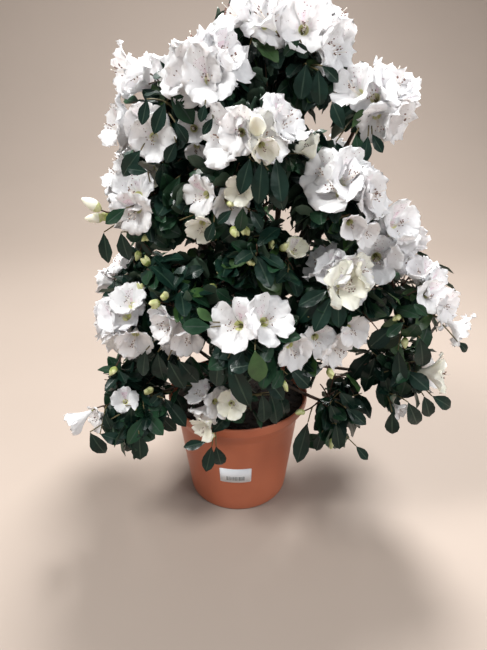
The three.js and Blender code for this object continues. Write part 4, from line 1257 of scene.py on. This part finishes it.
def single_leaves(index, grown):
    """The leaves that stand out in the photograph, each on a shoot of its own."""
    for k, (across, down, to_across, to_down, *rest) in enumerate(LEAVES_SEEN.get(names[index], [])):
        share, tint = rest + [1, DARK][len(rest):]
        end = seen_at(across, down, index, share)
        out = unit((end - centres[index]) * LEVEL)
        scale = np.dot(end - EYE, AHEAD) / FOCAL_LENGTH
        drop = (down - to_down) / math.cos(math.radians(EYE_TILT))
        leaf = (RIGHT * (to_across - across) + UP * drop) * scale
        leaf = leaf + out * FORWARD * np.linalg.norm(leaf)
        length = np.linalg.norm(leaf)
        ways = [curved(twig["line"][3], end, *LEAF_STALK_BOW) for twig in grown]
        ways = [line for line in ways if not blocked(line[1:])] or ways[:1]
        nearest = min(ways, key=lambda line: np.linalg.norm(line[0] - end))
        shoot(index, nearest, *LEAF_STALK_GIRTH, look=1)
        face = unit(unit(EYE - end) + UP * 0.3 + out * 0.5)
        width = length * min(1.0, SLIM_FROM / length) ** 0.5
        add_leaf(index, end, leaf / length, face, length, width, chance(index, k, 71), tint, True)


plans = [mass_plan(index) for index in range(len(names))]
bloom_rows = [np.array(column, float) for column in zip(*blooms)]
for index, (inward, grown) in enumerate(plans):
    leafy(index, inward, list(grown))
    single_leaves(index, grown)

# Trunk, stems and boughs.

# How many sides each kind of limb has.
LIMB_SIDES = {"trunk": 28, "stem": 14, "bough": 10}
# The relief of bark as shares of the radius: ridges as [how many, height, twist], and roots.
RIDGES = [[3, 0.05, 5], [7, 0.035, 9]]
ROOTS = 5
ROOT_HEIGHT = 0.10
limbs = Pile("trunk_and_boughs", "bark", [limb_bark])
dice = np.random.default_rng(SEED)
for name, (line, girth) in fine.items():
    kind = name.split("_")[0]
    back = 0.0 if kind == "trunk" else ROOT_DEPTH
    line = np.vstack([line[0] - unit(line[1] - line[0]) * back, line[1:]])
    phases = dice.uniform(0, 2 * math.pi, 6)
    knots = dice.uniform(0, 1, (len(line),)) ** 8

    def relief(i, angles):
        """Ridges, the roots at the trunk's foot, and rings with a few knots."""
        rise = i / len(line)
        foot = max(0.0, 1 - rise * 4) if kind == "trunk" else 0.0
        ridges = sum(high * np.sin(n * angles + phase + twist * rise)
                     for (n, high, twist), phase in zip(RIDGES, phases))
        roots = ROOT_HEIGHT * foot * np.sin(ROOTS * angles + phases[2])
        rings = 0.04 * math.sin(i * 1.7 + phases[3]) + 0.08 * knots[i]
        return 1 + ridges + roots + rings

    limbs.add(name, *tube(line, girth, LIMB_SIDES[kind], relief), 0)

# Pot, compost and sticker.


def ring(radius, height, sides):
    """A level ring of points round the pot's axis."""
    angles = turns(sides)
    return np.column_stack([radius * np.cos(angles), radius * np.sin(angles), np.full(sides, height)])


# The pot's outline as [radius, height]: the foot, hollow underneath, the collar up to the band, the
# lip and the inside. The wall between foot and collar follows the source.
POT_SIDES = 144
FOOT = [[58, 0.8], [60, 0.0], [70, 0.0], [71.6, 0.6], [72.7, 1.6], [73.1, 3.0]]
COLLAR = [[87.6, 128.0], [88.2, 130.2], [89.2, 132.2], [98.6, 148.2], [99.6, 149.6], [100, 151.5]]
LIP = [[100, 159.6], [99.8, 161.0], [99.2, 161.8], [98.4, 162.0], [97.7, 161.7], [97.3, 161.0]]
INSIDE = [[97.2, 151.5], [96.7, 150.0], [86.4, 132.2], [85.5, 130.0], [85.1, 127.0], [70.4, 8.0],
          [68.4, 5.0], [65.0, POT_FLOOR]]
WALL_LOW, WALL_HIGH = 12, 124
WALL_STEPS = 15
wall = [[float(pot_radius(z)), z] for z in np.linspace(WALL_LOW, WALL_HIGH, WALL_STEPS)]
pot = Pile("pot_shell", "pot", [clay])
rings = [ring(radius, height, POT_SIDES) for radius, height in FOOT + wall + COLLAR + LIP + INSIDE]
pot.add("pot", *capped(rings, [0, 0, FOOT[0][1]], [0, 0, POT_FLOOR]), 0)

# The compost: its rings, how far it keeps from the wall, its flat middle and the slope round it, its
# foot and neck inside the pot as (radius, height), its crumbs, and its waves as [how close, how high].
SOIL_SEED = 7
SOIL_SIDES = 150
SOIL_RINGS = 46
SOIL_KEEP = 0.5
SOIL_FLAT_RADIUS = 24
SOIL_SLOPE = 66
SOIL_FOOT = (68, 6.0)
SOIL_NECK = (84.6, 130.0)
CRUMBS = 420
CRUMB_SIZES = (0.8, 2.6)
CRUMB_LENGTHS = (0.7, 2.2)
CRUMB_RADII = np.array([0.35, 0.8, 0.7, 0.3])
WAVES = [[0.05, 1.0], [0.09, 0.8], [0.16, 0.7], [0.3, 0.55], [0.3, 0.55], [0.55, 0.4], [0.55, 0.4],
         [0.9, 0.3], [1.4, 0.25]]
dice = np.random.default_rng(SOIL_SEED)
waves = [(dice.uniform(-1, 1, 2) * close, dice.uniform(0, 6.28), high) for close, high in WAVES
         for _ in range(2)]


def soil_height(x, y):
    slope = np.clip(1 - (np.hypot(x, y) - SOIL_FLAT_RADIUS) / SOIL_SLOPE, 0, 1)
    h = SOIL_TOP + (SOIL_CROWN - SOIL_TOP) * slope
    for k, phase, size in waves:
        h = h + size * 0.55 * np.sin(k[0] * x + k[1] * y + phase)
    return h


soil = Pile("compost", "soil", [peat])
edge = float(pot_radius(SOIL_TOP)) - POT_WALL - SOIL_KEEP
rings = [ring(*SOIL_FOOT, SOIL_SIDES), ring(*SOIL_NECK, SOIL_SIDES)]
for i in range(SOIL_RINGS):
    r = edge * (1 - i / SOIL_RINGS)
    x, y, _ = ring(r, 0, SOIL_SIDES).T
    z = soil_height(x, y) + dice.uniform(-0.5, 0.5, SOIL_SIDES) * (0 if i == 0 else 1)
    rings.append(np.column_stack([x, y, np.minimum(z, SOIL_CROWN + 0.2) if r < 20 else z]))
soil.add("soil", *capped(rings, [0, 0, SOIL_FOOT[1]], [0, 0, SOIL_CROWN]), 0)
for _ in range(CRUMBS):
    a, r = dice.uniform(0, 2 * math.pi), edge * math.sqrt(dice.uniform(0.03, 0.93))
    size = dice.uniform(*CRUMB_SIZES)
    x, y = r * math.cos(a), r * math.sin(a)
    middle = np.array([x, y, float(soil_height(x, y)) + size * 0.3])
    axis = unit(dice.normal(size=3) * [1, 1, 0.35])
    line = middle + axis * np.linspace(-size, size, 4)[:, None] * dice.uniform(*CRUMB_LENGTHS)
    points, faces = tube(line, size * CRUMB_RADII, 5)
    soil.add("soil", points + dice.normal(size=points.shape) * 0.12, faces, 0)

# The sticker: how far its back and front stand out from the wall, and its plain bars.
PAPER_OUT = (0.05, 0.45)
INK_OUT = (0.46, 0.52)
PAPER_CORNER = 0.8
PAPER_STEPS = 24
BARS_HALF_WIDTH = 12.5
BARS_LOW, BARS_HIGH = -9.0, -1.5
BAR_WIDTHS = [0.5, 0.8, 1.2]
BAR_GAPS = [0.5, 0.8, 1.1]
sticker = Pile("sticker", "label", [paper, ink])


def on_pot(across, height, out):
    """A point of the sticker: across and height in mm from its middle, out from the pot's wall."""
    z = LABEL_MID_HEIGHT + height
    r = float(pot_radius(z)) + out
    a = math.radians(LABEL_BEARING) + across / float(pot_radius(LABEL_MID_HEIGHT))
    return np.array([r * math.cos(a), r * math.sin(a), z])


def patch(x0, x1, y0, y1, inner, outer, steps, look, corner=0.0):
    """A thin closed panel bent round the pot, with cut corners."""
    points = []
    for i in range(steps + 1):
        x = x0 + (x1 - x0) * i / steps
        trim = corner if i in (0, steps) else 0.0
        for y, out in ((y0 + trim, inner), (y0 + trim, outer), (y1 - trim, outer), (y1 - trim, inner)):
            points.append(on_pot(x, y, out))
    last = steps * 4
    ends = [[0, 2, 1], [0, 3, 2], [last, last + 1, last + 2], [last, last + 2, last + 3]]
    faces = np.vstack([grid_faces(steps + 1, 4, closed=True), ends])
    sticker.add("label", np.array(points), faces[:, ::-1], look)


half_width, half_height = LABEL_WIDTH / 2, LABEL_HEIGHT / 2
patch(-half_width, half_width, -half_height, half_height, *PAPER_OUT, PAPER_STEPS, 0, PAPER_CORNER)
x = -BARS_HALF_WIDTH
while x < BARS_HALF_WIDTH:
    width = float(dice.choice(BAR_WIDTHS))
    patch(x, x + width, BARS_LOW, BARS_HIGH, *INK_OUT, 1, 1)
    x += width + float(dice.choice(BAR_GAPS))

for pile in [*leaves.values(), *flowers.values(), flowers_cream, swelling, green_buds, twigs,
             limbs, pot, soil, sticker]:
    pile.make()

# Floor, light and camera, in metres.

FLOOR_FRONT = -3.0
FLOOR_BACK = 1.2
FLOOR_HALF_WIDTH = 4.0
COVE_RADIUS = 1.2
COVE_STEPS = 12
BACKDROP_TOP = 4.0
FLOOR_COLOUR = (0.36, 0.297, 0.252)
FLOOR_SHADE = 0.97
WORLD_COLOUR = (0.90, 0.91, 0.93, 1)
WORLD_STRENGTH = 0.42
SENSOR_WIDTH = 36.0

profile = [(FLOOR_FRONT, 0.0), (FLOOR_BACK, 0.0)]
for k in range(1, COVE_STEPS + 1):
    a = math.radians(90 * k / COVE_STEPS)
    profile.append((FLOOR_BACK + COVE_RADIUS * math.sin(a), COVE_RADIUS - COVE_RADIUS * math.cos(a)))
profile.append((FLOOR_BACK + COVE_RADIUS, BACKDROP_TOP))
mesh = bpy.data.meshes.new("floor")
verts = [(x, y, z) for y, z in profile for x in (-FLOOR_HALF_WIDTH, FLOOR_HALF_WIDTH)]
mesh.from_pydata(verts, [], [(2 * i, 2 * i + 1, 2 * i + 3, 2 * i + 2) for i in range(len(profile) - 1)])
mesh.polygons.foreach_set("use_smooth", np.ones(len(mesh.polygons), bool))
darker = [FLOOR_SHADE * c for c in FLOOR_COLOUR]
mesh.materials.append(material("pale_floor", darker, FLOOR_COLOUR, (0.6, 0.65), 3, 0.02, 200))
floor = placed("floor", mesh)


def area_light(name, place, target, size, power, colour):
    light = bpy.data.lights.new(name, "AREA")
    light.shape = "DISK"
    light.size = size
    light.energy = power
    light.color = colour
    lamp = placed(name, light)
    lamp.location = place
    lamp.rotation_euler = (Vector(target) - Vector(place)).to_track_quat("-Z", "Y").to_euler()


area_light("key", (-1.1, -0.7, 2.4), (0, 0, 0.35), 0.7, 54, (1.0, 0.99, 0.97))
area_light("crest", (0.25, 0.8, 2.2), (0, 0, 0.5), 0.7, 86, (1.0, 0.995, 0.985))
area_light("fill", (1.4, -1.2, 1.5), (0, 0, 0.3), 1.0, 18, (0.97, 0.98, 1.0))

world = bpy.data.worlds.new("studio")
world.use_nodes = True
set_inputs(world.node_tree.nodes["Background"], Color=WORLD_COLOUR, Strength=WORLD_STRENGTH)
bpy.context.scene.world = world
bpy.context.scene.view_settings.view_transform = "Standard"

camera = bpy.data.cameras.new("camera")
camera.sensor_width = SENSOR_WIDTH
camera.lens = SENSOR_WIDTH * FOCAL_LENGTH / PICTURE_HEIGHT
seat = placed("camera", camera)
seat.location = EYE * MM
seat.rotation_euler = (math.radians(90 - EYE_TILT), 0, 0)
bpy.context.scene.camera = seat

bpy.context.view_layer.update()
